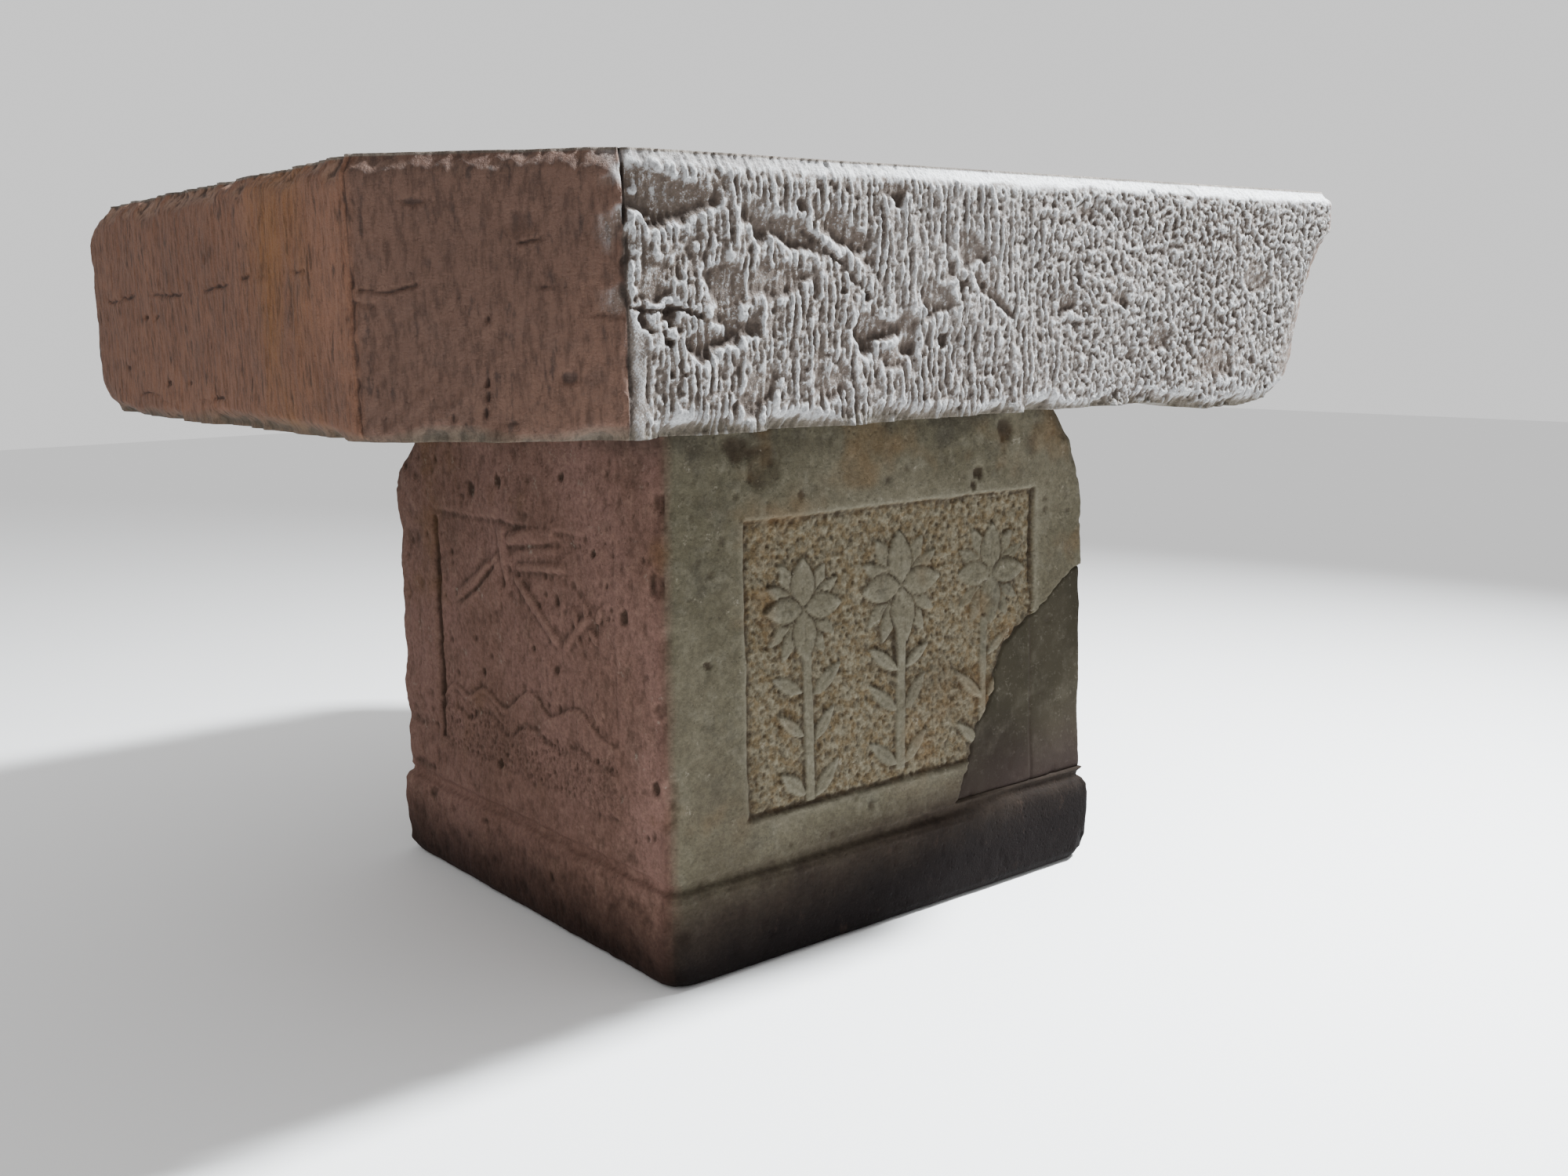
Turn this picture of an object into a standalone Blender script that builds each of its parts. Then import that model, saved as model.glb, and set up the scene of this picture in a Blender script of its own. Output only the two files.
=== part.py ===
# Stone baptismal font: a carved pedestal that carries a thick basin slab with cut corners.
# Metres, +Z up. The origin is the centre of the pedestal's foot, the front faces -Y.
import math

import bpy
from mathutils import Vector

for old in list(bpy.data.objects):
    bpy.data.objects.remove(old, do_unlink=True)

# Driving dimensions
GAP = 0.0003                 # left between touching pieces
BODY_HALF_X = 0.3475         # of the pedestal above its plinth band
BODY_HALF_Y = 0.332
PEDESTAL_BACK = 0.006        # the pedestal stands this far behind the slab's middle
PEDESTAL_TOP = 0.6437
GROOVE_Z = 0.121             # the sunk line above the plinth band
PANEL_DEPTH = 0.006
FRONT_PANEL = (-0.235, 0.245, 0.181, 0.529)   # along the face: left, right, low, high
SIDE_PANEL = (-0.226, 0.226, 0.181, 0.507)
SLAB_HALF_X = 0.710
SLAB_HALF_Y = 0.563
SLAB_BOTTOM = 0.650
SLAB_TOP = 0.900
SLAB_CORNER = 0.175          # how far each corner is cut back along both sides
BOWL_RADIUS = 0.285
BOWL_FLOOR = 0.727
BOWL_FLOOR_RADIUS = 0.120
LINING = 0.003
REBATE_RADIUS = 0.306
DRAIN_CHANNEL_RADIUS = 0.065
OUTLET_BORE = 0.0155
OUTLET_OUTER = 0.0200
PIPE_INNER = 0.0165
DOWEL_RADIUS = 0.012
DOWEL_LENGTH = 0.092
DOWEL_SPOTS = ((-0.275, -0.250), (0.275, -0.250), (-0.275, 0.250), (0.275, 0.250))
SOCKET_RADIUS = 0.019
RING_RADIUS = 0.018
RING_WIRE = 0.002
RING_DROOP = 17.0            # degrees below level, where the pull ring rests
PIN_RADIUS = 0.004


def material(name, colour, metallic, roughness):
    made = bpy.data.materials.new(name)
    made.use_nodes = True
    shader = made.node_tree.nodes["Principled BSDF"]
    shader.inputs["Base Color"].default_value = (*colour, 1.0)
    shader.inputs["Metallic"].default_value = metallic
    shader.inputs["Roughness"].default_value = roughness
    made.diffuse_color = (*colour, 1.0)
    return made


def solid(name, points, faces, look=None):
    mesh = bpy.data.meshes.new(name)
    mesh.from_pydata([tuple(p) for p in points], [], faces)
    mesh.validate()
    mesh.update()
    made = bpy.data.objects.new(name, mesh)
    bpy.context.scene.collection.objects.link(made)
    if look is not None:
        mesh.materials.append(look)
    return made


def as_cutter(made):
    made.hide_render = True
    made.display_type = "WIRE"
    return made


def boolean(target, other, how):
    step = target.modifiers.new(how.lower() + " " + other.name, "BOOLEAN")
    step.object = as_cutter(other)
    step.operation = how
    step.solver = "EXACT"
    return step


def lathe(name, profile, look=None, sides=48, at=(0.0, 0.0)):
    """A closed profile of (radius, z) points, listed anticlockwise, turned about a vertical axis."""
    points, rings = [], []
    for radius, z in profile:
        if radius < 1e-7:
            rings.append([len(points)] * sides)
            points.append((at[0], at[1], z))
            continue
        ring = []
        for k in range(sides):
            angle = 2 * math.pi * k / sides
            ring.append(len(points))
            points.append((at[0] + radius * math.cos(angle), at[1] + radius * math.sin(angle), z))
        rings.append(ring)
    faces = []
    for i, ring in enumerate(rings):
        after = rings[(i + 1) % len(rings)]
        for k in range(sides):
            m = (k + 1) % sides
            corner = [ring[k], ring[m], after[m], after[k]]
            corner = [c for j, c in enumerate(corner) if c != corner[j - 1]]
            if len(set(corner)) >= 3:
                faces.append(corner)
    return solid(name, points, faces, look)


def stack(name, levels, look=None):
    """Matching outlines, anticlockwise seen from above, each a list of (x, y, z), lowest first."""
    count = len(levels[0])
    points = [p for level in levels for p in level]
    faces = [list(range(count))[::-1]]
    for i in range(len(levels) - 1):
        low, high = i * count, (i + 1) * count
        for k in range(count):
            m = (k + 1) % count
            faces.append([low + k, low + m, high + m, high + k])
    faces.append([(len(levels) - 1) * count + k for k in range(count)])
    return solid(name, points, faces, look)


def prism(name, outline, start, along, look=None, across=(1, 0, 0), up=(0, 0, 1)):
    """A flat outline of (a, b), swept along a direction. across x up has to face back against it."""
    start, along = Vector(start), Vector(along)
    across, up = Vector(across), Vector(up)
    near = [start + a * across + b * up for a, b in outline]
    far = [p + along for p in near]
    count = len(outline)
    faces = [list(range(count)), [count + k for k in range(count)][::-1]]
    for k in range(count):
        m = (k + 1) % count
        faces.append([m, k, count + k, count + m])
    return solid(name, near + far, faces, look)


def grown(outline, amount):
    """An anticlockwise outline moved outwards by amount."""
    out = []
    for k, point in enumerate(outline):
        here = Vector(point)
        before = (here - Vector(outline[k - 1])).normalized()
        after = (Vector(outline[(k + 1) % len(outline)]) - here).normalized()
        normal = Vector((before.y + after.y, -before.x - after.x)).normalized()
        stretch = max(0.5, normal.dot(Vector((before.y, -before.x))))
        out.append(tuple(here + normal * amount / stretch))
    return out


class Relief:
    """Carved shapes on one side of the pedestal, gathered into one mesh."""

    def __init__(self, face, across, outward):
        self.face, self.across, self.outward = Vector(face), Vector(across), Vector(outward)
        self.points, self.faces = [], []

    def spot(self, u, z, rise):
        return self.face + u * self.across + Vector((0, 0, z)) + rise * self.outward

    def leaf(self, base, tip, width, rise, sink=-0.004):
        """A pointed leaf with a ridge down its middle."""
        base, tip = Vector(base), Vector(tip)
        along = tip - base
        side = Vector((-along.y, along.x)).normalized() * width / 2
        rim = [base, base + 0.30 * along - side * 0.8, base + 0.62 * along - side, tip,
               base + 0.62 * along + side, base + 0.30 * along + side * 0.8]
        first = len(self.points)
        self.points += [self.spot(p.x, p.y, sink) for p in rim]
        self.points += [self.spot(p.x, p.y, rise * 0.35) for p in rim]
        self.points += [self.spot(*(base + 0.22 * along), rise * 0.8),
                        self.spot(*(base + 0.70 * along), rise)]
        rows = [[5, 4, 3, 2, 1, 0]]
        rows += [[k, (k + 1) % 6, 6 + (k + 1) % 6, 6 + k] for k in range(6)]
        rows += [[6, 7, 12], [7, 8, 13, 12], [8, 9, 13], [9, 10, 13], [10, 11, 12, 13], [11, 6, 12]]
        self.faces += [[first + k for k in row] for row in rows]

    def plate(self, outline, rise, sink=-0.004, edge=0.002):
        """A raised flat shape with sloping edges. The outline is anticlockwise seen from outside."""
        top = grown(outline, -edge)
        first, count = len(self.points), len(outline)
        self.points += [self.spot(u, z, sink) for u, z in outline]
        self.points += [self.spot(u, z, rise) for u, z in top]
        self.faces.append([first + k for k in range(count)][::-1])
        for k in range(count):
            m = (k + 1) % count
            self.faces.append([first + k, first + m, first + count + m, first + count + k])
        self.faces.append([first + count + k for k in range(count)])

    def made(self, name):
        return solid(name, self.points, self.faces)


# Materials
STONE_PEDESTAL = material("pedestal_stone", (0.33, 0.29, 0.22), 0.0, 0.85)
STONE_SLAB = material("slab_stone", (0.42, 0.34, 0.28), 0.0, 0.85)
STONE_REPAIR = material("repair_stone", (0.22, 0.21, 0.18), 0.0, 0.85)
MORTAR = material("lime_mortar", (0.60, 0.57, 0.47), 0.0, 0.9)
SLATE = material("slate", (0.16, 0.17, 0.19), 0.0, 0.7)
IRON = material("wrought_iron", (0.12, 0.10, 0.09), 0.9, 0.6)
LEAD = material("lead", (0.33, 0.35, 0.37), 0.9, 0.5)
LEAD_SLEEVE = material("poured_lead", (0.36, 0.37, 0.39), 0.9, 0.5)
BRASS = material("brass", (0.62, 0.44, 0.19), 1.0, 0.3)
BRASS_NUT = material("brass_nut", (0.58, 0.41, 0.18), 1.0, 0.35)
COPPER = material("copper_pipe", (0.60, 0.32, 0.20), 1.0, 0.35)
RUBBER = material("seal_rubber", (0.03, 0.03, 0.03), 0.0, 0.8)

# Pedestal: a block worked down to a slight taper over a plinth band, its arrises worn
near_left, near_right, far_right, far_left = (-1, -1), (1, -1), (1, 1), (-1, 1)
pedestal_levels = (
    # z, half x, half y, worn amount at each corner in the order above
    (0.0000, 0.346, 0.332, (0.045, 0.022, 0.020, 0.024)),
    (0.0140, 0.354, 0.341, (0.026, 0.014, 0.014, 0.016)),
    (0.0400, 0.3555, 0.3425, (0.016, 0.011, 0.012, 0.012)),
    (0.1060, 0.355, 0.342, (0.016, 0.010, 0.012, 0.012)),
    (0.1155, 0.352, 0.339, (0.018, 0.012, 0.014, 0.014)),
    (0.1185, 0.346, 0.333, (0.016, 0.011, 0.014, 0.014)),
    (0.1250, 0.346, 0.333, (0.016, 0.011, 0.014, 0.014)),
    (0.1290, 0.350, 0.336, (0.016, 0.011, 0.014, 0.014)),
    (0.2000, 0.348, 0.333, (0.014, 0.010, 0.013, 0.014)),
    (0.3400, 0.3475, 0.332, (0.013, 0.010, 0.013, 0.013)),
    (0.5000, 0.345, 0.331, (0.012, 0.013, 0.013, 0.010)),
    (0.5500, 0.343, 0.332, (0.012, 0.026, 0.016, 0.018)),
    (0.5750, 0.3425, 0.332, (0.013, 0.042, 0.019, 0.055)),
    (0.6000, 0.342, 0.332, (0.014, 0.062, 0.024, 0.090)),
    (PEDESTAL_TOP, 0.341, 0.330, (0.018, 0.095, 0.034, 0.110)),
)


def pedestal_outline(z, half_x, half_y, worn):
    """Anticlockwise, with three points round each worn corner."""
    outline = []
    for (sx, sy), cut in zip((near_left, near_right, far_right, far_left), worn):
        beside, middle, along = (0.0, cut), (0.29 * cut, 0.29 * cut), (cut, 0.0)
        order = (beside, middle, along) if sx * sy > 0 else (along, middle, beside)
        outline += [(sx * (half_x - dx), PEDESTAL_BACK + sy * (half_y - dy), z) for dx, dy in order]
    return outline


pedestal = stack("pedestal_block", [pedestal_outline(*level) for level in pedestal_levels],
                 STONE_PEDESTAL)

# A sunk panel on each of its four sides
FRONT_Y, BACK_Y = PEDESTAL_BACK - BODY_HALF_Y, PEDESTAL_BACK + BODY_HALF_Y
sides = {
    "front": ((0, FRONT_Y, 0), (1, 0, 0), (0, -1, 0), FRONT_PANEL),
    "left": ((-BODY_HALF_X, 0, 0), (0, -1, 0), (-1, 0, 0), SIDE_PANEL),
    "back": ((0, BACK_Y, 0), (-1, 0, 0), (0, 1, 0), FRONT_PANEL),
    "right": ((BODY_HALF_X, 0, 0), (0, 1, 0), (1, 0, 0), SIDE_PANEL),
}
for side, (face, across, outward, (left, right, low, high)) in sides.items():
    outward = Vector(outward)
    start = Vector(face) + 0.02 * outward
    rim = [(left, low), (right, low), (right, high), (left, high)]
    boolean(pedestal, prism(side + "_panel_cut", rim, start, -(0.02 + PANEL_DEPTH) * outward,
                            across=across), "DIFFERENCE")

# Three tall flowers stand in the front panel, and again in the back panel
ROSETTES = (
    # centre, size, worn height
    ((-0.147, 0.418), 1.00, 1.00),
    ((0.010, 0.427), 1.12, 1.00),
    ((0.168, 0.425), 1.08, 0.70),
)
STEMS = (
    # top, bottom, width
    ((-0.1435, 0.370), (-0.140, 0.184), 0.013),
    ((0.0085, 0.372), (0.0065, 0.196), 0.014),
    ((0.1560, 0.366), (0.151, 0.262), 0.011),
)
STEM_LEAVES = (
    ((-0.134, 0.313), (-0.091, 0.347), 0.019), ((-0.152, 0.318), (-0.196, 0.341), 0.018),
    ((-0.132, 0.258), (-0.103, 0.295), 0.016), ((-0.150, 0.264), (-0.189, 0.295), 0.015),
    ((-0.131, 0.189), (-0.095, 0.229), 0.018), ((-0.152, 0.197), (-0.185, 0.224), 0.018),
    ((0.001, 0.322), (-0.045, 0.354), 0.018), ((0.016, 0.323), (0.054, 0.349), 0.015),
    ((-0.002, 0.272), (-0.044, 0.307), 0.017), ((0.015, 0.272), (0.048, 0.311), 0.017),
    ((-0.002, 0.203), (-0.045, 0.235), 0.018), ((0.014, 0.200), (0.050, 0.238), 0.016),
    ((0.149, 0.265), (0.104, 0.303), 0.015),
)
PETALS = (
    # direction in degrees, length, width
    (90, 0.060, 0.034), (0, 0.058, 0.031), (180, 0.057, 0.031), (270, 0.060, 0.034),
    (56, 0.062, 0.019), (33, 0.062, 0.016), (124, 0.066, 0.021), (150, 0.062, 0.018),
    (214, 0.064, 0.018), (240, 0.066, 0.020), (300, 0.062, 0.020), (326, 0.058, 0.017),
)


def flowers(name, face, across, outward):
    ground = Vector(face) - PANEL_DEPTH * Vector(outward)
    relief = Relief(ground, across, outward)
    for (u, z), size, worn in ROSETTES:
        for k, (degrees, length, width) in enumerate(PETALS):
            angle = math.radians(degrees)
            way = Vector((math.cos(angle), math.sin(angle)))
            inner = 0.006 if k < 4 else 0.022
            relief.leaf(Vector((u, z)) + way * inner * size, Vector((u, z)) + way * length * size,
                        width * size, (0.0052 if k < 4 else 0.0042) * worn)
    for (top_u, top_z), (low_u, low_z), width in STEMS:
        w = width / 2
        relief.plate([(low_u - w, low_z), (low_u + w, low_z), (top_u + w, top_z),
                      (top_u - w, top_z)], 0.0036)
    for base, tip, width in STEM_LEAVES:
        relief.leaf(base, tip, width, 0.0040)
    return relief.made(name)


# A bird over a range of hills, with a leafed twig: worn low relief on the two short sides
HILLS = ((0.222, 0.268), (0.200, 0.266), (0.175, 0.275), (0.150, 0.293), (0.125, 0.296),
         (0.100, 0.285), (0.060, 0.268), (0.045, 0.285), (0.020, 0.298), (0.000, 0.290),
         (-0.030, 0.268), (-0.055, 0.259), (-0.075, 0.270), (-0.100, 0.282), (-0.120, 0.275),
         (-0.150, 0.256), (-0.180, 0.272), (-0.200, 0.270), (-0.216, 0.250))
BIRD = (
    [(-0.186, 0.384), (-0.110, 0.396), (-0.048, 0.398), (-0.010, 0.436), (-0.030, 0.462),
     (-0.052, 0.456), (-0.100, 0.427), (-0.150, 0.406)],
    [(0.000, 0.448), (0.060, 0.458), (0.105, 0.463), (0.095, 0.505), (0.088, 0.518),
     (0.040, 0.502), (0.000, 0.491), (-0.014, 0.478)],
    [(0.004, 0.404), (0.055, 0.372), (0.100, 0.368), (0.104, 0.380), (0.078, 0.402),
     (0.036, 0.424), (0.010, 0.438)],
)
TWIG = [(0.118, 0.380), (0.160, 0.398), (0.200, 0.406), (0.200, 0.414), (0.158, 0.407),
        (0.114, 0.388)]


def bird_and_hills(name, face, across, outward):
    ground = Vector(face) - PANEL_DEPTH * Vector(outward)
    relief = Relief(ground, across, outward)
    relief.plate([(-0.216, 0.184), (0.222, 0.184)] + list(HILLS), 0.0034)
    for outline in BIRD:
        relief.plate(outline, 0.0042)
    head = [(-0.038 + 0.019 * math.cos(math.radians(a)), 0.477 + 0.019 * math.sin(math.radians(a)))
            for a in range(0, 360, 36)]
    relief.plate(head, 0.0050)
    relief.plate(TWIG, 0.0036)
    for base, tip in (((0.140, 0.394), (0.132, 0.420)), ((0.165, 0.405), (0.160, 0.430)),
                      ((0.185, 0.404), (0.196, 0.428)), ((0.170, 0.399), (0.184, 0.380))):
        relief.leaf(base, tip, 0.012, 0.0036)
    return relief.made(name)


for side, carve in (("front", flowers), ("back", flowers), ("left", bird_and_hills),
                    ("right", bird_and_hills)):
    face, across, outward, _ = sides[side]
    boolean(pedestal, carve(side + "_relief", face, across, outward), "UNION").use_self = True

# Repair let into the front's lower right, down to the plinth line and round the arris
REPAIR = [(0.101, 0.1300), (0.370, 0.1300), (0.370, 0.4230), (0.325, 0.412), (0.305, 0.400),
          (0.280, 0.386), (0.252, 0.362), (0.215, 0.346), (0.192, 0.326), (0.176, 0.300),
          (0.168, 0.262), (0.150, 0.236), (0.130, 0.206), (0.124, 0.180), (0.113, 0.158)]
REPAIR_BACK_Y = FRONT_Y + 0.052
boolean(pedestal, prism("repair_cut", grown(REPAIR, GAP), (0, -0.45, 0),
                        (0, REPAIR_BACK_Y + GAP + 0.45, 0)), "DIFFERENCE")
repair_edge, repair_face = BODY_HALF_X - 0.0005, FRONT_Y + 0.0015
repair_outline = [REPAIR[0], (repair_edge, 0.1300), (repair_edge, 0.4160)] + REPAIR[3:]
repair = prism("pedestal_repair", repair_outline, (0, repair_face, 0),
               (0, REPAIR_BACK_Y - repair_face, 0), STONE_REPAIR)
corner_cut = [(repair_edge - 0.011, repair_face - 0.02), (repair_edge + 0.01, repair_face - 0.02),
              (repair_edge + 0.01, repair_face + 0.011), (repair_edge, repair_face + 0.011),
              (repair_edge - 0.011, repair_face)]
boolean(repair, stack("repair_corner_cut", [[(x, y, z) for x, y in corner_cut] for z in (0.10, 0.45)]),
        "DIFFERENCE")
line = [(0.2415, 0.110), (0.2455, 0.110), (0.2455, 0.350), (0.2415, 0.350)]
boolean(repair, prism("repair_line_cut", line, (0, -0.36, 0), (0, 0.36 + repair_face + 0.0025, 0)),
        "DIFFERENCE")

# Two pins tie the repair into the block
PIN_SPOTS = ((0.245, 0.300), (0.215, 0.200))
for k, (x, z) in enumerate(PIN_SPOTS, 1):
    def rod(name, radius, y_low, y_high, look=None):
        rim = [(x + radius * math.cos(a * math.pi / 8), z + radius * math.sin(a * math.pi / 8))
               for a in range(16)]
        return prism(name, rim, (0, y_low, 0), (0, y_high - y_low, 0), look)
    rod("repair_pin_%d" % k, PIN_RADIUS, REPAIR_BACK_Y - 0.030, REPAIR_BACK_Y + 0.034, BRASS_NUT)
    for target, tag in ((pedestal, "block"), (repair, "patch")):
        boolean(target, rod("pin_hole_%s_%d" % (tag, k), PIN_RADIUS + GAP,
                            REPAIR_BACK_Y - 0.0303, REPAIR_BACK_Y + 0.0343), "DIFFERENCE")

# Channel for the drain, right through the pedestal
boolean(pedestal, lathe("channel_cut", [(0, -0.05), (DRAIN_CHANNEL_RADIUS, -0.05),
                                        (DRAIN_CHANNEL_RADIUS, 0.70), (0, 0.70)], sides=32),
        "DIFFERENCE")

# Mortar bed, set back from the arrises, with slate slips that level the slab
BED_LOW, BED_HIGH = PEDESTAL_TOP + GAP, SLAB_BOTTOM - GAP
bed_half_x, bed_half_y, bed_cut = 0.318, 0.294, 0.045
bed_outline = []
for sx, sy in ((-1, -1), (1, -1), (1, 1), (-1, 1)):
    pair = [(sx * bed_half_x, sy * (bed_half_y - bed_cut)),
            (sx * (bed_half_x - bed_cut), sy * bed_half_y)]
    bed_outline += pair if sx * sy > 0 else pair[::-1]
bed = stack("bedding_mortar", [[(x, y, BED_LOW) for x, y in bed_outline],
                               [(x, y, BED_HIGH) for x, y in bed_outline]], MORTAR)
boolean(bed, lathe("bed_hole_cut", [(0, 0.60), (DRAIN_CHANNEL_RADIUS + 0.004, 0.60),
                                    (DRAIN_CHANNEL_RADIUS + 0.004, 0.70), (0, 0.70)], sides=32),
        "DIFFERENCE")
SHIMS = ((-0.190, -0.225, 8), (0.180, -0.215, -12), (-0.175, 0.220, -6), (0.200, 0.222, 15))
for k, (x, y, turn) in enumerate(SHIMS, 1):
    angle = math.radians(turn)

    def slip(name, grow, low, high, look=None):
        rim = grown([(-0.034, -0.020), (0.030, -0.023), (0.037, 0.016), (-0.029, 0.022)], grow)
        turned = [(x + a * math.cos(angle) - b * math.sin(angle),
                   y + a * math.sin(angle) + b * math.cos(angle)) for a, b in rim]
        return stack(name, [[(a, b, z) for a, b in turned] for z in (low, high)], look)
    slip("levelling_shim_%d" % k, 0.0, BED_LOW + 0.0001, BED_HIGH - 0.0001, SLATE)
    boolean(bed, slip("shim_pocket_%d" % k, GAP, 0.62, 0.68), "DIFFERENCE")

# Slab: a thick rectangle with its corners cut off at 45 degrees and a worn lower edge
def slab_outline(inset, z):
    a, b = SLAB_HALF_X - inset, SLAB_HALF_Y - inset
    cut = SLAB_CORNER - 0.586 * inset
    return [(-a, -b + cut, z), (-a + cut, -b, z), (a - cut, -b, z), (a, -b + cut, z),
            (a, b - cut, z), (a - cut, b, z), (-a + cut, b, z), (-a, b - cut, z)]


slab = stack("basin_slab", [slab_outline(0.016, SLAB_BOTTOM), slab_outline(0.004, 0.6560),
                            slab_outline(0.000, 0.6640), slab_outline(0.000, 0.8900),
                            slab_outline(0.003, 0.8970), slab_outline(0.008, SLAB_TOP)], STONE_SLAB)

# The bowl, its rebate for the lining, and the hole for the outlet
bowl_side = []
for k in range(9):
    t = k / 8
    bowl_side.append((BOWL_FLOOR_RADIUS + (BOWL_RADIUS - BOWL_FLOOR_RADIUS) * math.sin(t * math.pi / 2),
                      BOWL_FLOOR + (0.8965 - BOWL_FLOOR) * (1 - math.cos(t * math.pi / 2))))
OUTLET_HOLE = OUTLET_OUTER + 0.003
bowl_cut = [(0, 0.60), (OUTLET_HOLE, 0.60), (OUTLET_HOLE, BOWL_FLOOR - 0.001)] + bowl_side
bowl_cut += [(REBATE_RADIUS, 0.8965), (REBATE_RADIUS, 0.95), (0, 0.95)]
boolean(slab, lathe("bowl_cut", bowl_cut), "DIFFERENCE")

# The lost lower corner at the front's right end, broken along one rough plane
BREAK = [(0.545, 0.852), (0.520, 0.850), (0.500, 0.835), (0.480, 0.800), (0.462, 0.770),
         (0.453, 0.740), (0.447, 0.700), (0.432, 0.668), (0.398, 0.640), (0.395, 0.600),
         (0.700, 0.600), (0.700, 0.852)]
boolean(slab, prism("break_cut", BREAK, (-0.10, -0.627, 0), (0.50, 0.3225, 0),
                    across=(1, 0, 0)), "DIFFERENCE")


def chip(name, centre, size, turn, target):
    """A shallow shell-shaped flake knocked off an edge or a face."""
    points = []
    for i in range(7):
        lean = math.pi * (i + 1) / 8
        for k in range(10):
            angle = 2 * math.pi * k / 10
            wobble = 1 + 0.10 * math.sin(3 * angle + i) + 0.07 * math.cos(2 * angle - i)
            points.append(Vector((math.sin(lean) * math.cos(angle) * wobble,
                                  math.sin(lean) * math.sin(angle) * wobble, math.cos(lean))))
    points += [Vector((0, 0, 1)), Vector((0, 0, -1))]
    faces = []
    for i in range(6):
        for k in range(10):
            m = (k + 1) % 10
            faces.append([i * 10 + k, (i + 1) * 10 + k, (i + 1) * 10 + m, i * 10 + m])
    for k in range(10):
        m = (k + 1) % 10
        faces.append([70, k, m])
        faces.append([71, 60 + m, 60 + k])
    c, s = math.cos(math.radians(turn)), math.sin(math.radians(turn))
    moved = []
    for p in points:
        a, b, d = p.x * size[0], p.y * size[1], p.z * size[2]
        moved.append((centre[0] + a * c - b * s, centre[1] + a * s + b * c, centre[2] + d))
    boolean(target, solid(name, moved, faces), "DIFFERENCE")


chip("chip_1", (-0.235, -0.572, 0.748), (0.036, 0.016, 0.020), 0, slab)
chip("chip_2", (-0.445, -0.571, 0.742), (0.030, 0.014, 0.014), 0, slab)
chip("chip_3", (-0.360, -0.574, 0.832), (0.040, 0.017, 0.019), 0, slab)
chip("chip_4", (-0.270, -0.573, 0.830), (0.030, 0.016, 0.017), 0, slab)
chip("chip_5", (-0.520, -0.573, 0.880), (0.042, 0.018, 0.024), 10, slab)
chip("chip_6", (-0.705, 0.420, 0.900), (0.036, 0.070, 0.024), 12, slab)
chip("chip_7", (0.706, 0.300, 0.884), (0.016, 0.052, 0.022), 0, slab)
chip("chip_8", (0.050, 0.571, 0.884), (0.060, 0.016, 0.020), 0, slab)
chip("chip_9", (-0.628, 0.480, 0.662), (0.050, 0.040, 0.024), 30, slab)

# Iron dowels, run in with lead, tie the slab to the pedestal
for k, (x, y) in enumerate(DOWEL_SPOTS, 1):
    middle = (BED_LOW + BED_HIGH) / 2
    low, high = middle - DOWEL_LENGTH / 2, middle + DOWEL_LENGTH / 2
    lathe("dowel_%d" % k, [(0, low), (DOWEL_RADIUS - 0.002, low), (DOWEL_RADIUS, low + 0.002),
                           (DOWEL_RADIUS, high - 0.002), (DOWEL_RADIUS - 0.002, high), (0, high)],
          IRON, sides=16, at=(x, y))
    inner = DOWEL_RADIUS + GAP
    lathe("dowel_lead_%d" % k, [(inner, low + 0.001), (SOCKET_RADIUS, low + 0.001),
                                (SOCKET_RADIUS, high - 0.001), (inner, high - 0.001)],
          LEAD_SLEEVE, sides=16, at=(x, y))
    reach = SOCKET_RADIUS + GAP + 0.0001
    for target, tag, start, end in ((pedestal, "pedestal", low - 0.0005, 0.70),
                                    (slab, "slab", 0.60, high + 0.0005),
                                    (bed, "bed", 0.60, 0.70)):
        boolean(target, lathe("socket_%s_%d" % (tag, k), [(0, start), (reach, start), (reach, end),
                                                           (0, end)], sides=16, at=(x, y)),
                "DIFFERENCE")

# Lead lining, dressed down the bowl and into the rebate round its rim
outer = [(r - GAP * 1.6, z + GAP * 1.2) for r, z in bowl_side]
outer = [(OUTLET_HOLE + 0.002, BOWL_FLOOR + GAP * 1.2)] + outer
outer[-1] = (outer[-1][0], 0.8965 + GAP)
inner = [(max(r - LINING * math.sin(t), OUTLET_HOLE + 0.002), z + LINING * math.cos(t))
         for (r, z), t in zip(outer[1:], [k * math.pi / 16 for k in range(9)])]
inner[-1] = (inner[-1][0], 0.8965 + GAP + LINING)
lining = outer + [(REBATE_RADIUS - GAP * 2, 0.8965 + GAP),
                  (REBATE_RADIUS - GAP * 2, 0.8965 + GAP + LINING)]
lining += inner[::-1] + [(OUTLET_HOLE + 0.002, BOWL_FLOOR + GAP * 1.2 + LINING)]
lathe("bowl_lining", lining, LEAD)

# Brass outlet: a flange over the lining and a tail through the slab
floor_top = BOWL_FLOOR + GAP * 1.2 + LINING + GAP
SEAT_TOP, SEAT_LOW = floor_top + 0.005, floor_top - 0.016
lathe("drain_outlet", [(OUTLET_BORE, 0.600), (OUTLET_OUTER, 0.600), (OUTLET_OUTER, floor_top),
                       (0.0385, floor_top), (0.0400, floor_top + 0.0012), (0.0385, floor_top + 0.0026),
                       (0.0230, SEAT_TOP), (0.0205, SEAT_TOP), (0.0190, SEAT_TOP - 0.002),
                       (0.0175, SEAT_LOW), (OUTLET_BORE, SEAT_LOW - 0.002)], BRASS, sides=32)
lathe("drain_washer", [(OUTLET_OUTER + GAP, SLAB_BOTTOM - 0.0038), (0.0360, SLAB_BOTTOM - 0.0038),
                       (0.0360, SLAB_BOTTOM - GAP), (OUTLET_OUTER + GAP, SLAB_BOTTOM - GAP)],
      RUBBER, sides=32)


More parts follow.
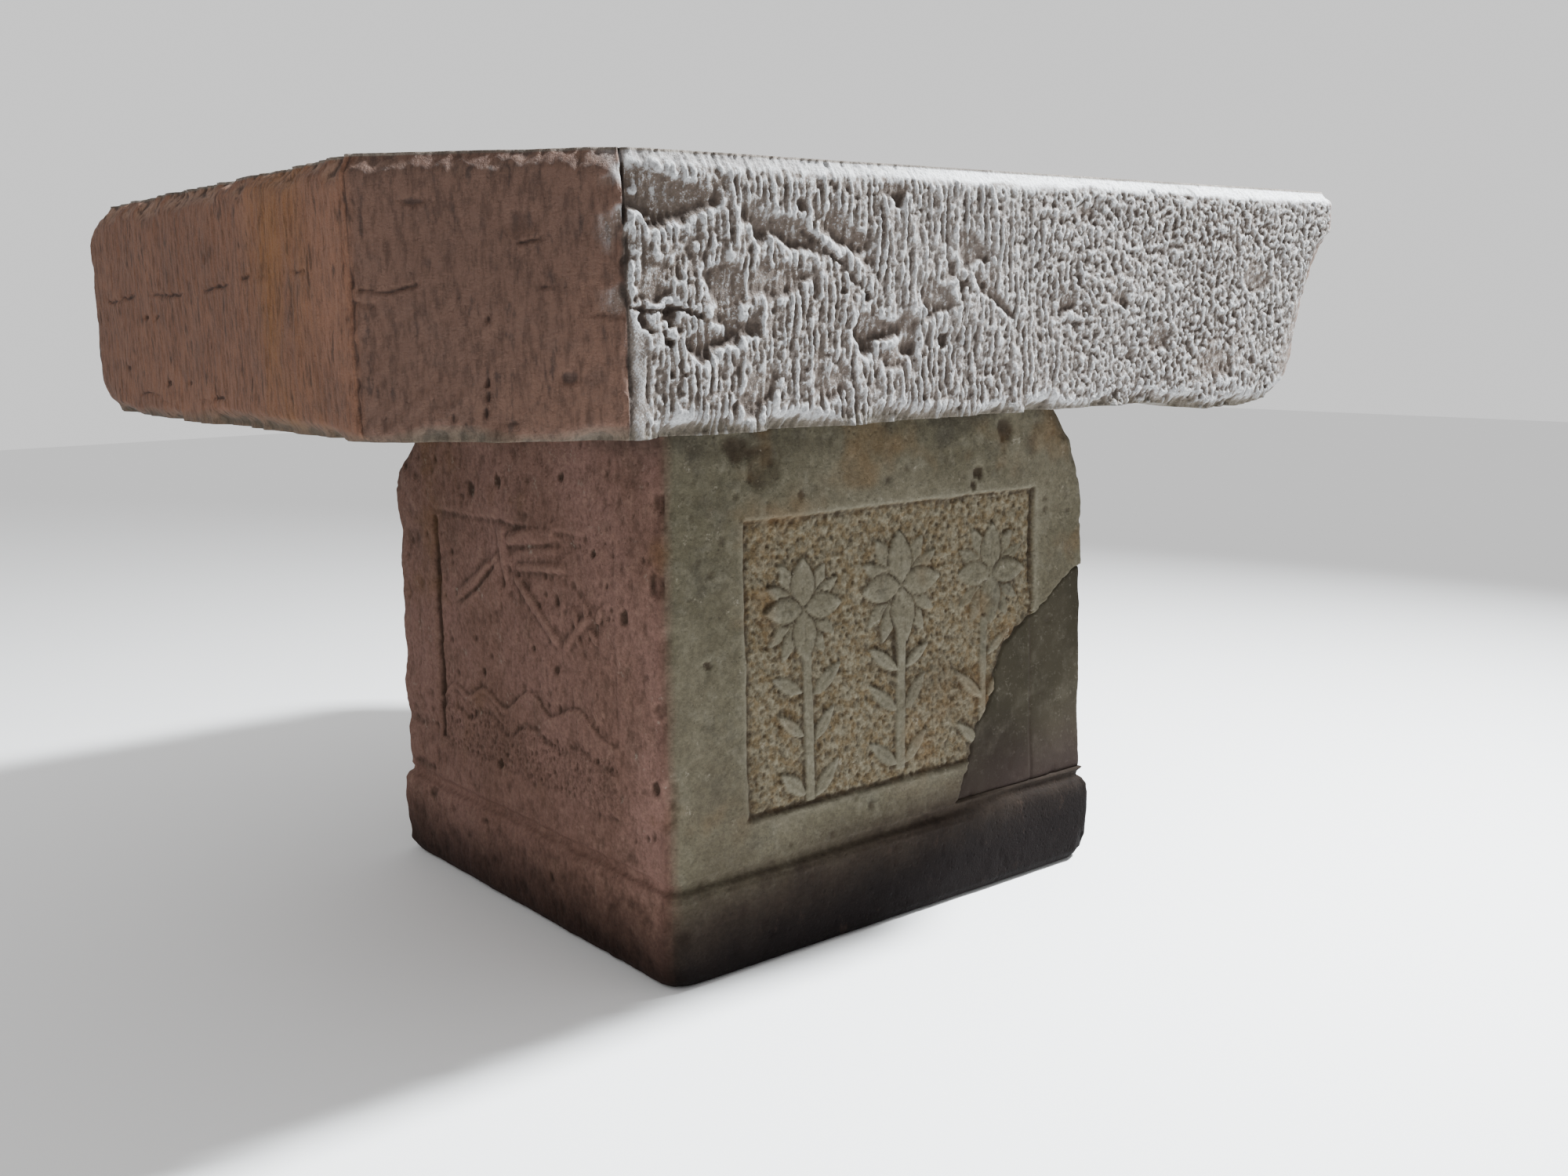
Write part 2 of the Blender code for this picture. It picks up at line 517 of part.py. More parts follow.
def hex_nut(name, across_flats, bore, low, high, look):
    corner = across_flats / math.sqrt(3)
    rims = ((corner - 0.002, low), (corner, low + 0.0015), (corner, high - 0.0015),
            (corner - 0.002, high))
    levels = [[(r * math.cos(math.radians(60 * k)), r * math.sin(math.radians(60 * k)), z)
               for k in range(6)] for r, z in rims]
    nut = stack(name, levels, look)
    boolean(nut, lathe(name + "_bore", [(0, low - 0.01), (bore, low - 0.01), (bore, high + 0.01),
                                        (0, high + 0.01)], sides=32), "DIFFERENCE")
    return nut


hex_nut("drain_backnut", 0.058, OUTLET_OUTER + GAP, SLAB_BOTTOM - 0.0180, SLAB_BOTTOM - 0.0041,
        BRASS_NUT)
hex_nut("union_nut", 0.052, OUTLET_OUTER + GAP, 0.5760, 0.6220, BRASS_NUT)
lathe("drain_pipe", [(PIPE_INNER, 0.0003), (OUTLET_OUTER, 0.0003), (OUTLET_OUTER, 0.5997),
                     (PIPE_INNER, 0.5997)], COPPER, sides=32)

# Plug: a tapered brass stopper with a rubber seal and an eye for its pull ring
PLUG_TOP = SEAT_TOP + 0.003
EYE_Z = PLUG_TOP + 0.0085
stopper = lathe("plug_stopper", [(0, SEAT_LOW + 0.002), (0.0150, SEAT_LOW + 0.002),
                                 (0.0156, SEAT_LOW + 0.005), (0.0130, SEAT_LOW + 0.0065),
                                 (0.0130, SEAT_LOW + 0.0115), (0.0166, SEAT_LOW + 0.013),
                                 (0.0180, SEAT_TOP - 0.0005), (0.0215, SEAT_TOP + 0.0006),
                                 (0.0215, SEAT_TOP + 0.0018), (0.0190, PLUG_TOP), (0, PLUG_TOP)],
                BRASS, sides=32)
eye = []
for a in range(0, 181, 20):
    eye.append((0.0068 * math.cos(math.radians(a)), EYE_Z + 0.0068 * math.sin(math.radians(a))))
eye = [(-0.0075, PLUG_TOP - 0.002), (0.0075, PLUG_TOP - 0.002)] + eye
boolean(stopper, prism("eye_tab", eye, (0, -0.0015, 0), (0, 0.003, 0)), "UNION")
hole = [(0.0031 * math.cos(math.radians(a)), EYE_Z + 0.0031 * math.sin(math.radians(a)))
        for a in range(0, 360, 30)]
boolean(stopper, prism("eye_hole", hole, (0, -0.01, 0), (0, 0.02, 0)), "DIFFERENCE")
lathe("plug_seal", [(0.0133, SEAT_LOW + 0.0069), (0.0168, SEAT_LOW + 0.0069),
                    (0.0170, SEAT_LOW + 0.0085), (0.0168, SEAT_LOW + 0.0108),
                    (0.0133, SEAT_LOW + 0.0108)], RUBBER, sides=32)

# Pull ring, threaded through the eye and lying down on the outlet
points, faces = [], []
around, section = 32, 8
droop = math.radians(RING_DROOP)
for i in range(around):
    a = 2 * math.pi * i / around
    for k in range(section):
        b = 2 * math.pi * k / section
        reach = RING_RADIUS + RING_WIRE * math.cos(b)
        flat = Vector((RING_RADIUS + reach * math.cos(a), reach * math.sin(a), RING_WIRE * math.sin(b)))
        x = flat.x * math.cos(droop) + flat.z * math.sin(droop)
        z = -flat.x * math.sin(droop) + flat.z * math.cos(droop)
        points.append((x, flat.y, EYE_Z + z))
for i in range(around):
    j = (i + 1) % around
    for k in range(section):
        m = (k + 1) % section
        faces.append([i * section + k, j * section + k, j * section + m, i * section + m])
solid("plug_ring", points, faces, BRASS)
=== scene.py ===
import math

import bpy
import numpy as np
from mathutils import Matrix, Vector


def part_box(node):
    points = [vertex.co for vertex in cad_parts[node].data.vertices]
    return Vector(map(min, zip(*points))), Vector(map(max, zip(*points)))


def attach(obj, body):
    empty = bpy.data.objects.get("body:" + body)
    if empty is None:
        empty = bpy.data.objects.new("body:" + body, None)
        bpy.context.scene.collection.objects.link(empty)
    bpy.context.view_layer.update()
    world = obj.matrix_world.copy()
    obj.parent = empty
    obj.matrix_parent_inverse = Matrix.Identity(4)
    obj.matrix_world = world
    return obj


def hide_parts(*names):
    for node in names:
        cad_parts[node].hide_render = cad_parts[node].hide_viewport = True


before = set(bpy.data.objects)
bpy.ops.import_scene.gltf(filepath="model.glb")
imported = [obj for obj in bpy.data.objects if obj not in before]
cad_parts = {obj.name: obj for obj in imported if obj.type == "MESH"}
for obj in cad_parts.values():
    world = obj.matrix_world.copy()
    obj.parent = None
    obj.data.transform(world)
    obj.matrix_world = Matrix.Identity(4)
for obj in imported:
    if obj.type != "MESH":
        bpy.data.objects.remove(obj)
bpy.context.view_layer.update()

# The pedestal: one nearly cubic block of fine-grained sandstone, worked with point and chisel.
# A plinth band runs round its foot under a sunk line, and each side holds a sunk panel whose
# ground was picked down with a point so that the carving stands up from it.


def smooth(low, high, x):
    """An even rise from 0 at low to 1 at high."""
    t = np.clip((x - low) / (high - low), 0.0, 1.0)
    return t * t * (3.0 - 2.0 * t)


def lattice_value(ix, iy, iz, seed):
    """A repeatable value from 0 to 1 for each whole-numbered point of a lattice."""
    h = (ix.astype(np.int64) * 374761393 + iy.astype(np.int64) * 668265263
         + iz.astype(np.int64) * 2147483647 + seed * 1274126177) & 0xFFFFFFFF
    h = ((h ^ (h >> 13)) * 1274126177) & 0xFFFFFFFF
    h = (h ^ (h >> 16)) & 0xFFFFFFFF
    return h.astype(np.float64) / 4294967295.0


def noise(x, y, z, size, seed):
    """Soft lumps of about the given size, from -1 to 1."""
    x, y, z = np.broadcast_arrays(x / size, y / size, z / size)
    ix, iy, iz = np.floor(x), np.floor(y), np.floor(z)
    fx, fy, fz = x - ix, y - iy, z - iz
    fx, fy, fz = (f * f * f * (f * (f * 6 - 15) + 10) for f in (fx, fy, fz))
    ix, iy, iz = ix.astype(np.int64), iy.astype(np.int64), iz.astype(np.int64)
    total = 0.0
    for dx in (0, 1):
        wx = fx if dx else 1 - fx
        for dy in (0, 1):
            wy = fy if dy else 1 - fy
            for dz in (0, 1):
                wz = fz if dz else 1 - fz
                total = total + wx * wy * wz * lattice_value(ix + dx, iy + dy, iz + dz, seed)
    return total * 2.0 - 1.0


def rough(x, y, z, size, seed, layers=3):
    """Lumps on lumps, each layer half the size and half the height of the one before."""
    total, weight = 0.0, 1.0
    for k in range(layers):
        total = total + weight * noise(x, y, z, size / 2 ** k, seed + 17 * k)
        weight *= 0.5
    return total


def picks(u, v, size, seed, stretch=1.0):
    """Point-chisel pits: 1 at the bottom of a pit and 0 between pits."""
    u, v = u / size, v / (size * stretch)
    iu, iv = np.floor(u), np.floor(v)
    depth = np.zeros_like(u)
    for du in (-1, 0, 1):
        for dv in (-1, 0, 1):
            cu, cv = (iu + du).astype(np.int64), (iv + dv).astype(np.int64)
            zero = np.zeros_like(cu)
            pu = cu + 0.15 + 0.7 * lattice_value(cu, cv, zero, seed)
            pv = cv + 0.15 + 0.7 * lattice_value(cu, cv, zero, seed + 5)
            wide = 0.32 + 0.30 * lattice_value(cu, cv, zero, seed + 9)
            hard = lattice_value(cu, cv, zero, seed + 12)
            near = np.sqrt((u - pu) ** 2 + (v - pv) ** 2) / wide
            depth = np.maximum(depth, hard * np.clip(1.0 - near ** 2, 0.0, 1.0))
    return depth


def along_line(u, v, a, b):
    """(distance from the line a-b, how far along it from 0 to 1)."""
    du, dv = b[0] - a[0], b[1] - a[1]
    t = np.clip(((u - a[0]) * du + (v - a[1]) * dv) / (du * du + dv * dv), 0.0, 1.0)
    return np.hypot(u - a[0] - t * du, v - a[1] - t * dv), t


def path_distance(u, v, points):
    """Distance from the nearest part of a line through the points."""
    best = np.full(np.shape(u), 1e9)
    for a, b in zip(points[:-1], points[1:]):
        best = np.minimum(best, along_line(u, v, a, b)[0])
    return best


def leaf(u, v, base, tip, width, rise, vein=0.0010):
    """A pillowed leaf or petal, pointed at its tip, with a fine vein cut along its middle."""
    du, dv = tip[0] - base[0], tip[1] - base[1]
    length = math.hypot(du, dv)
    up = ((u - base[0]) * du + (v - base[1]) * dv) / length ** 2
    off = ((u - base[0]) * dv - (v - base[1]) * du) / length
    half = width / 2 * np.sin(np.pi * np.clip(up, 0.0, 1.0) ** 0.85) ** 0.75 + 1e-6
    across = np.clip(1.0 - (off / half) ** 2, 0.0, 1.0)
    body = np.where((up > 0) & (up < 1), across ** 0.42, 0.0)
    midrib = np.exp(-(off / 0.0011) ** 2) * smooth(0.10, 0.3, up) * (1 - smooth(0.7, 0.95, up))
    side_ribs = np.exp(-((np.abs(off) - 0.24 * width * (1 - up)) / 0.0010) ** 2)
    side_ribs = side_ribs * smooth(0.15, 0.3, up) * smooth(0.8, 0.6, up) * (width > 0.024)
    return body * rise - np.where(body > 0.3, midrib * vein + 0.45 * vein * side_ribs, 0.0)


def carved_flowers(u, z):
    """Three tall flowers, each a ring of pointed petals over a straight stem with paired leaves."""
    raised = np.zeros_like(u)
    petals = (
        # direction, reach, width, height: the eight petals behind, then the four broad ones over them
        (56, 0.062, 0.021, 0.0040), (33, 0.062, 0.017, 0.0038), (124, 0.066, 0.022, 0.0040),
        (150, 0.063, 0.019, 0.0038), (214, 0.066, 0.019, 0.0038), (240, 0.068, 0.021, 0.0040),
        (300, 0.063, 0.021, 0.0040), (326, 0.058, 0.018, 0.0038), (90, 0.061, 0.036, 0.0058),
        (270, 0.063, 0.036, 0.0056), (0, 0.059, 0.032, 0.0060), (180, 0.058, 0.032, 0.0060),
    )
    flowers = (
        # centre, size, how much of its height is left, turn
        ((-0.147, 0.418), 1.00, 1.00, 0), ((0.010, 0.427), 1.12, 0.95, 3), ((0.168, 0.425), 1.06, 0.55, -2),
    )
    for centre, size, kept, turn in flowers:
        near = (np.abs(u - centre[0]) < 0.09) & (np.abs(z - centre[1]) < 0.09)
        for k, (degrees, reach, width, rise) in enumerate(petals):
            angle = math.radians(degrees + turn + 2.5 * math.sin(5.1 * k))
            way = (math.cos(angle), math.sin(angle))
            inner = 0.003 if k >= 8 else 0.018
            base = (centre[0] + way[0] * inner, centre[1] + way[1] * inner)
            tip = (centre[0] + way[0] * reach * size, centre[1] + way[1] * reach * size)
            shape = leaf(u[near], z[near], base, tip, width * size, rise * kept)
            # the carver undercut each petal where it lies over the ones behind it
            moat = leaf(u[near], z[near], base, tip, width * size + 0.0042, 1.0, 0.0)
            behind = raised[near] * (1 - 0.75 * (moat > 0.25))
            raised[near] = np.where(shape > 0.0004, np.maximum(shape, behind), behind)
        eye = np.hypot(u[near] - centre[0], z[near] - centre[1])
        raised[near] = np.maximum(raised[near], 0.0045 * kept * np.clip(1 - (eye / 0.006) ** 2, 0, 1))
    stems = (
        # top, foot, half width, height
        ((-0.1435, 0.372), (-0.1400, 0.183), 0.0066, 0.0040),
        ((0.0085, 0.374), (0.0065, 0.194), 0.0072, 0.0042),
        ((0.1560, 0.370), (0.1490, 0.190), 0.0056, 0.0026),
    )
    for top, foot, half, rise in stems:
        apart, t = along_line(u, z, top, foot)
        bar = rise * smooth(half + 0.0012, half - 0.0012, apart)
        raised = np.maximum(raised, np.where((t > 0.0) & (t < 1.0), bar, 0.0))
    leaves = (
        ((-0.134, 0.313), (-0.091, 0.347), 0.020), ((-0.152, 0.318), (-0.197, 0.341), 0.019),
        ((-0.132, 0.258), (-0.103, 0.296), 0.018), ((-0.150, 0.264), (-0.190, 0.296), 0.016),
        ((-0.133, 0.187), (-0.095, 0.229), 0.020), ((-0.148, 0.193), (-0.186, 0.224), 0.021),
        ((0.001, 0.322), (-0.045, 0.355), 0.019), ((0.016, 0.323), (0.055, 0.350), 0.016),
        ((0.000, 0.270), (-0.045, 0.308), 0.018), ((0.015, 0.270), (0.049, 0.312), 0.019),
        ((0.000, 0.201), (-0.046, 0.236), 0.019), ((0.014, 0.200), (0.051, 0.239), 0.017),
        ((0.150, 0.262), (0.103, 0.304), 0.017), ((0.147, 0.200), (0.104, 0.236), 0.017),
        ((0.162, 0.318), (0.198, 0.345), 0.014), ((0.160, 0.262), (0.196, 0.300), 0.014),
    )
    for base, tip, width in leaves:
        near = (np.abs(u - base[0]) < 0.06) & (np.abs(z - base[1]) < 0.06)
        shape = leaf(u[near], z[near], base, tip, width, 0.0042, 0.0012)
        raised[near] = np.maximum(raised[near], shape)
    return raised


def carved_bird(u, z):
    """A bird over a range of hills with a leafed twig, in low relief that has worn soft."""
    raised = np.zeros_like(u)
    ridge = np.array([(-0.240, 0.244), (-0.216, 0.250), (-0.200, 0.270), (-0.180, 0.273), (-0.150, 0.256),
                      (-0.120, 0.275), (-0.100, 0.283), (-0.075, 0.271), (-0.055, 0.258), (-0.030, 0.268),
                      (0.000, 0.290), (0.020, 0.299), (0.045, 0.286), (0.060, 0.268), (0.100, 0.285),
                      (0.125, 0.296), (0.150, 0.293), (0.175, 0.275), (0.200, 0.266), (0.240, 0.268)])
    reach = (-0.012, -0.006, 0.0, 0.006, 0.012)
    top = sum(np.interp(u + k, ridge[:, 0], ridge[:, 1]) for k in reach) / 5
    raised += 0.0030 * smooth(0.0030, -0.0030, z - top)
    raised -= 0.0020 * np.exp(-((z - top - 0.007) / 0.006) ** 2)
    raised -= 0.0011 * np.exp(-((z - top + 0.010) / 0.0030) ** 2) * smooth(-0.02, -0.06, u)
    nearer = np.array([(-0.240, 0.225), (-0.200, 0.236), (-0.170, 0.236), (-0.145, 0.222), (-0.120, 0.240),
                       (-0.090, 0.246), (-0.050, 0.223), (-0.030, 0.221), (0.000, 0.245), (0.020, 0.250),
                       (0.060, 0.234), (0.095, 0.226), (0.130, 0.246), (0.170, 0.236), (0.240, 0.228)])
    low = sum(np.interp(u + k, nearer[:, 0], nearer[:, 1]) for k in reach) / 5
    raised += 0.0014 * smooth(0.0030, -0.0030, z - low)
    raised -= 0.0010 * np.exp(-((z - low - 0.006) / 0.005) ** 2)

    def wing(upper, lower, rise):
        """A swelling between two lines, sharp along the upper one and melting into the lower."""
        upper, lower = np.array(upper), np.array(lower)
        high = np.interp(u, upper[:, 0], upper[:, 1])
        under = np.interp(u, lower[:, 0], lower[:, 1])
        ends = smooth(upper[0, 0], upper[0, 0] + 0.030, u) * smooth(upper[-1, 0], upper[-1, 0] - 0.050, u)
        return 0.9 * rise * smooth(0.0, 0.006, high - z) * smooth(-0.010, 0.028, z - under) * ends

    raised = np.maximum(raised, wing([(-0.190, 0.386), (-0.150, 0.407), (-0.100, 0.428), (-0.050, 0.458),
                                      (-0.004, 0.470)],
                                     [(-0.190, 0.370), (-0.110, 0.376), (-0.048, 0.388), (-0.004, 0.420)],
                                     0.0042))
    raised = np.maximum(raised, wing([(-0.020, 0.478), (0.000, 0.489), (0.030, 0.500), (0.060, 0.508),
                                      (0.114, 0.519)],
                                     [(-0.020, 0.440), (0.000, 0.452), (0.060, 0.462), (0.114, 0.467)],
                                     0.0040))
    # raised bars: the wing's feathers, the beak, the body's edge and the twig, each with its half
    # width and height
    bars = (([(-0.020, 0.484), (0.040, 0.499), (0.085, 0.504)], 0.0080, 0.0052),
            ([(0.002, 0.452), (0.055, 0.458), (0.108, 0.462)], 0.0055, 0.0040),
            ([(-0.055, 0.458), (-0.105, 0.426), (-0.160, 0.397)], 0.0065, 0.0046),
            ([(-0.002, 0.436), (0.045, 0.402), (0.086, 0.374)], 0.0080, 0.0048),
            ([(0.112, 0.370), (0.138, 0.391), (0.163, 0.409)], 0.0050, 0.0040),
            ([(-0.038, 0.492), (-0.036, 0.440)], 0.0140, 0.0062))
    for points, half, rise in bars:
        bar = smooth(half + 0.0045, half * 0.20, path_distance(u, z, points))
        raised = np.maximum(raised, 0.78 * rise * bar)
    # the cuts beside them, each with its depth and half width
    grooves = (([(-0.064, 0.500), (-0.055, 0.470), (-0.070, 0.452)], 0.0030, 0.0045),
               ([(-0.014, 0.474), (0.050, 0.484), (0.095, 0.490)], 0.0026, 0.0040),
               ([(-0.004, 0.443), (0.055, 0.448), (0.108, 0.452)], 0.0036, 0.0034),
               ([(-0.062, 0.446), (-0.110, 0.412), (-0.162, 0.386), (-0.190, 0.372)], 0.0036, 0.0045),
               ([(-0.190, 0.372), (-0.208, 0.350), (-0.211, 0.305), (-0.200, 0.278)], 0.0024, 0.0045),
               ([(-0.200, 0.491), (-0.170, 0.467), (-0.147, 0.430)], 0.0048, 0.0070),
               ([(-0.014, 0.424), (0.030, 0.390), (0.078, 0.358)], 0.0034, 0.0048),
               ([(0.014, 0.436), (0.055, 0.408), (0.098, 0.378)], 0.0034, 0.0038),
               ([(-0.046, 0.470), (-0.040, 0.445), (-0.037, 0.425)], 0.0026, 0.0035),
               ([(-0.046, 0.400), (-0.050, 0.350), (-0.052, 0.305)], 0.0016, 0.0034))
    for points, deep, half in grooves:
        raised -= deep * np.exp(-(path_distance(u, z, points) / half) ** 2)
    twig_leaves = (
        ((0.140, 0.394), (0.131, 0.422), 0.012), ((0.163, 0.404), (0.158, 0.432), 0.012),
        ((0.184, 0.406), (0.197, 0.428), 0.012), ((0.168, 0.398), (0.186, 0.380), 0.012),
        ((0.132, 0.387), (0.148, 0.372), 0.011),
    )
    for base, tip, width in twig_leaves:
        raised = np.maximum(raised, leaf(u, z, base, tip, width, 0.0032, 0.0004))
    bruises = (
        ((0.091, 0.419), 0.0060, 0.0035), ((0.128, 0.497), 0.0110, 0.0012), ((-0.222, 0.412), 0.0080, 0.0030),
        ((0.084, 0.334), 0.0060, 0.0035), ((0.030, 0.353), 0.0035, 0.0035), ((-0.180, 0.452), 0.0050, 0.0025),
        ((-0.106, 0.302), 0.0045, 0.0025), ((0.190, 0.406), 0.0110, 0.0014),
    )
    for at, size, deep in bruises:
        raised -= deep * np.exp(-(np.hypot(u - at[0], z - at[1]) / size) ** 2)
    return raised


def mesh_piece(name, points, quads, shades=None, triangles=()):
    """A piece from points and faces, turned to face outwards. shades holds four masks for its finish."""
    points = np.asarray(points, np.float32)
    faces = [np.asarray(f, np.int32).reshape(-1, n) for f, n in ((quads, 4), (triangles, 3)) if len(f)]
    corners = points[faces[0]].astype(np.float64)
    volume = np.einsum("ij,ij->i", corners[:, 0], np.cross(corners[:, 1], corners[:, 2])).sum()
    if volume < -1e-9:
        faces = [f[:, ::-1] for f in faces]
    mesh = bpy.data.meshes.new(name)
    mesh.vertices.add(len(points))
    mesh.vertices.foreach_set("co", points.ravel())
    mesh.loops.add(sum(f.size for f in faces))
    mesh.loops.foreach_set("vertex_index", np.concatenate([f.ravel() for f in faces]))
    mesh.polygons.add(sum(len(f) for f in faces))
    totals = np.concatenate([np.full(len(f), f.shape[1]) for f in faces])
    mesh.polygons.foreach_set("loop_start", np.concatenate([[0], np.cumsum(totals)[:-1]]).astype(np.int32))
    mesh.polygons.foreach_set("loop_total", totals.astype(np.int32))
    mesh.update(calc_edges=True)
    mesh.validate()
    mesh.polygons.foreach_set("use_smooth", np.ones(len(mesh.polygons), bool))
    if shades is not None:
        layer = mesh.attributes.new("surface", "FLOAT_COLOR", "POINT")
        layer.data.foreach_set("color", np.clip(shades, 0, 1).astype(np.float32).ravel())
    piece = bpy.data.objects.new(name, mesh)
    bpy.context.scene.collection.objects.link(piece)
    return piece


def spaced(*runs):
    """Joins (start, end, step) runs into one rising list of positions."""
    out = [runs[0][0]]
    for start, end, step in runs:
        count = max(1, int(round((end - start) / step)))
        out += list(np.linspace(start, end, count + 1)[1:])
    return np.array(out)


def ring_quads(rings, count, close=False):
    """Faces between rings of count points each, the rings listed in order."""
    k = np.arange(count)
    m = (k + 1) % count
    faces = []
    for i in range(rings if close else rings - 1):
        a, b = i * count, ((i + 1) % rings) * count
        faces.append(np.stack([a + k, a + m, b + m, b + k], 1))
    return np.concatenate(faces)


def relief_of(lift, reach):
    """How far each point lies below the surface around it; negative where it stands above."""
    steps = range(-2 * reach, 2 * reach + 1)
    weights = np.exp(-(np.array(steps) / reach) ** 2)
    weights /= weights.sum()
    soft = sum(w * np.roll(lift, k, axis=0) for w, k in zip(weights, steps))
    padded = np.pad(soft, ((0, 0), (2 * reach, 2 * reach)), mode="edge")
    rows = lift.shape[1]
    soft = sum(w * padded[:, k:k + rows] for k, w in enumerate(weights))
    return soft - lift


# One table of the block's shape by height: half sizes, and how much each arris is worn back, from
# the front left arris round to the back left one
block_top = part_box("pedestal_block")[1].z
block_heights = np.array([0.0, 0.004, 0.014, 0.040, 0.106, 0.1135, 0.118, 0.125, 0.130, 0.160, 0.200,
                          0.340, 0.500, 0.525, 0.550, 0.575, 0.600, block_top])
block_half_x = np.array([0.340, 0.348, 0.3535, 0.3550, 0.3545, 0.3520, 0.3455, 0.3455, 0.3495, 0.3490,
                         0.3480, 0.3475, 0.3450, 0.344, 0.343, 0.3425, 0.342, 0.341])
block_half_y = np.array([0.326, 0.334, 0.3405, 0.3420, 0.3415, 0.3385, 0.3325, 0.3325, 0.3355, 0.3345,
                         0.3330, 0.3320, 0.3310, 0.332, 0.332, 0.332, 0.332, 0.330])
block_back = 0.006  # the block stands this far behind the slab's middle
front_half, flank_half = 0.347, 0.332
block_worn = np.array([[0.060, 0.040, 0.026, 0.019, 0.018, 0.018, 0.018, 0.017, 0.017, 0.016, 0.016, 0.015,
                        0.013, 0.013, 0.013, 0.014, 0.015, 0.019],
                       [0.036, 0.026, 0.018, 0.012, 0.011, 0.013, 0.012, 0.011, 0.011, 0.010, 0.010, 0.010,
                        0.014, 0.019, 0.029, 0.043, 0.062, 0.098],
                       [0.030, 0.022, 0.017, 0.014, 0.014, 0.016, 0.015, 0.015, 0.015, 0.014, 0.014, 0.014,
                        0.014, 0.015, 0.017, 0.020, 0.026, 0.036],
                       [0.036, 0.026, 0.018, 0.014, 0.014, 0.016, 0.015, 0.015, 0.015, 0.015, 0.015, 0.014,
                        0.012, 0.012, 0.020, 0.052, 0.088, 0.112]])
fine = spaced((-0.345, -0.328, 0.0022), (-0.328, -0.250, 0.0036), (-0.250, 0.250, 0.0021),
              (0.250, 0.328, 0.0036), (0.328, 0.345, 0.0022)) / 0.345
coarse = spaced((-0.345, -0.325, 0.0030), (-0.325, 0.325, 0.0050), (0.325, 0.345, 0.0030)) / 0.345
heights = spaced((0.0, 0.006, 0.002), (0.006, 0.018, 0.003), (0.018, 0.100, 0.0055),
                 (0.100, 0.134, 0.0019), (0.134, 0.172, 0.0036), (0.172, 0.186, 0.0020),
                 (0.186, 0.520, 0.0022), (0.520, 0.536, 0.0020), (0.536, block_top, 0.0042))
side_of, along = [], []
for side, run in enumerate((fine, coarse, coarse, fine)):  # front, right, back, left
    side_of += [side] * (len(run) - 1)
    along += list(run[:-1])
side_of, along = np.array(side_of), np.array(along)


def block_surface():
    """Sharp-edged outline points, rounded at the arrises, with outward directions and side positions."""
    on_sides = [side_of[:, None] == k for k in range(4)]
    half_x = np.interp(heights, block_heights, block_half_x)[None, :]
    half_y = np.interp(heights, block_heights, block_half_y)[None, :]
    t = along[:, None]
    x = np.select(on_sides, [t * half_x, half_x, -t * half_x, -half_x])
    y = np.select(on_sides, [-half_y, t * half_y, half_y, -t * half_y])
    x, y, z = (axis.copy() for axis in np.broadcast_arrays(x, y, heights[None, :]))
    out_x = np.select(on_sides, [0.0, 1.0, 0.0, -1.0]) + 0 * x
    out_y = np.select(on_sides, [-1.0, 0.0, 1.0, 0.0]) + 0 * x
    for k, (sign_x, sign_y) in enumerate(((-1, -1), (1, -1), (1, 1), (-1, 1))):
        worn = np.interp(heights, block_heights, block_worn[k])[None, :]
        ragged = 1.0 + 0.28 * rough(sign_x * 0.3 + 0 * z, sign_y * 0.3 + 0 * z, z, 0.045, 40 + k)
        worn = worn * np.clip(ragged, 0.5, 1.8)
        centre_x, centre_y = half_x - worn, half_y - worn
        dx, dy = sign_x * x - centre_x, sign_y * y - centre_y
        rounded = (dx > 0) & (dy > 0)
        length = np.hypot(dx, dy) + 1e-9
        x = np.where(rounded, sign_x * (centre_x + worn * dx / length), x)
        y = np.where(rounded, sign_y * (centre_y + worn * dy / length), y)
        out_x = np.where(rounded, sign_x * dx / length, out_x)
        out_y = np.where(rounded, sign_y * dy / length, out_y)
    y = y + block_back
    return x, y, z, out_x, out_y, np.select(on_sides, [x, y, -x, -y])


def panel_recess(u, z, left, right, low, high, depth, seed, soft=0.0018):
    """0 outside the sunk panel and depth inside, with hand-cut edges that wander a little."""
    wander = 0.0011 * noise(u, z, 0 * u, 0.030, seed) + 0.0005 * noise(u, z, 0 * u, 0.008, seed + 1)
    u, z = u + wander, z + wander
    inside = smooth(left - soft, left + soft, u) * smooth(right + soft, right - soft, u)
    inside = inside * smooth(low - soft, low + soft, z) * smooth(high + soft, high - soft, z)
    return depth * inside, inside


# The block's lower right front corner broke away long ago and was made good with a let-in piece
repair_edge = [(0.095, 0.1290), (0.101, 0.134), (0.113, 0.158), (0.124, 0.180), (0.130, 0.206),
               (0.150, 0.236), (0.168, 0.262), (0.176, 0.300), (0.192, 0.326), (0.215, 0.346),
               (0.252, 0.362), (0.280, 0.386), (0.305, 0.400), (0.325, 0.412), (0.348, 0.417)]


def inside_repair(side, u, z):
    """Distance inside the repair's outline, negative outside it."""
    line = np.array(repair_edge)
    wander = 0.0030 * noise(u, z, 0 * u, 0.016, 71) + 0.0014 * noise(u, z, 0 * u, 0.005, 72)
    away = path_distance(u, z, repair_edge)
    left_at = np.interp(z, line[:, 1], line[:, 0])
    front = np.where(u > left_at, away, -away) + wander
    front = np.where(z > line[-1, 1] + 0.004, -away, front)
    flank = np.minimum(-0.274 - u, 0.4165 - z)
    depth = np.where(side == 0, front, np.where((side == 1) & (u < 0), flank, -1.0))
    return np.minimum(depth, z - 0.1300)


x, y, z, out_x, out_y, u = block_surface()
side = np.broadcast_to(side_of[:, None], x.shape)
lift = np.zeros_like(x)  # how far the worked surface stands out
carving = np.zeros_like(x)  # how much a point belongs to raised carving
ground = np.zeros_like(x)  # how much it belongs to a picked ground
edge_shade_and_dirt = np.zeros_like(x)  # painted shade and dirt lying in corners and cuts
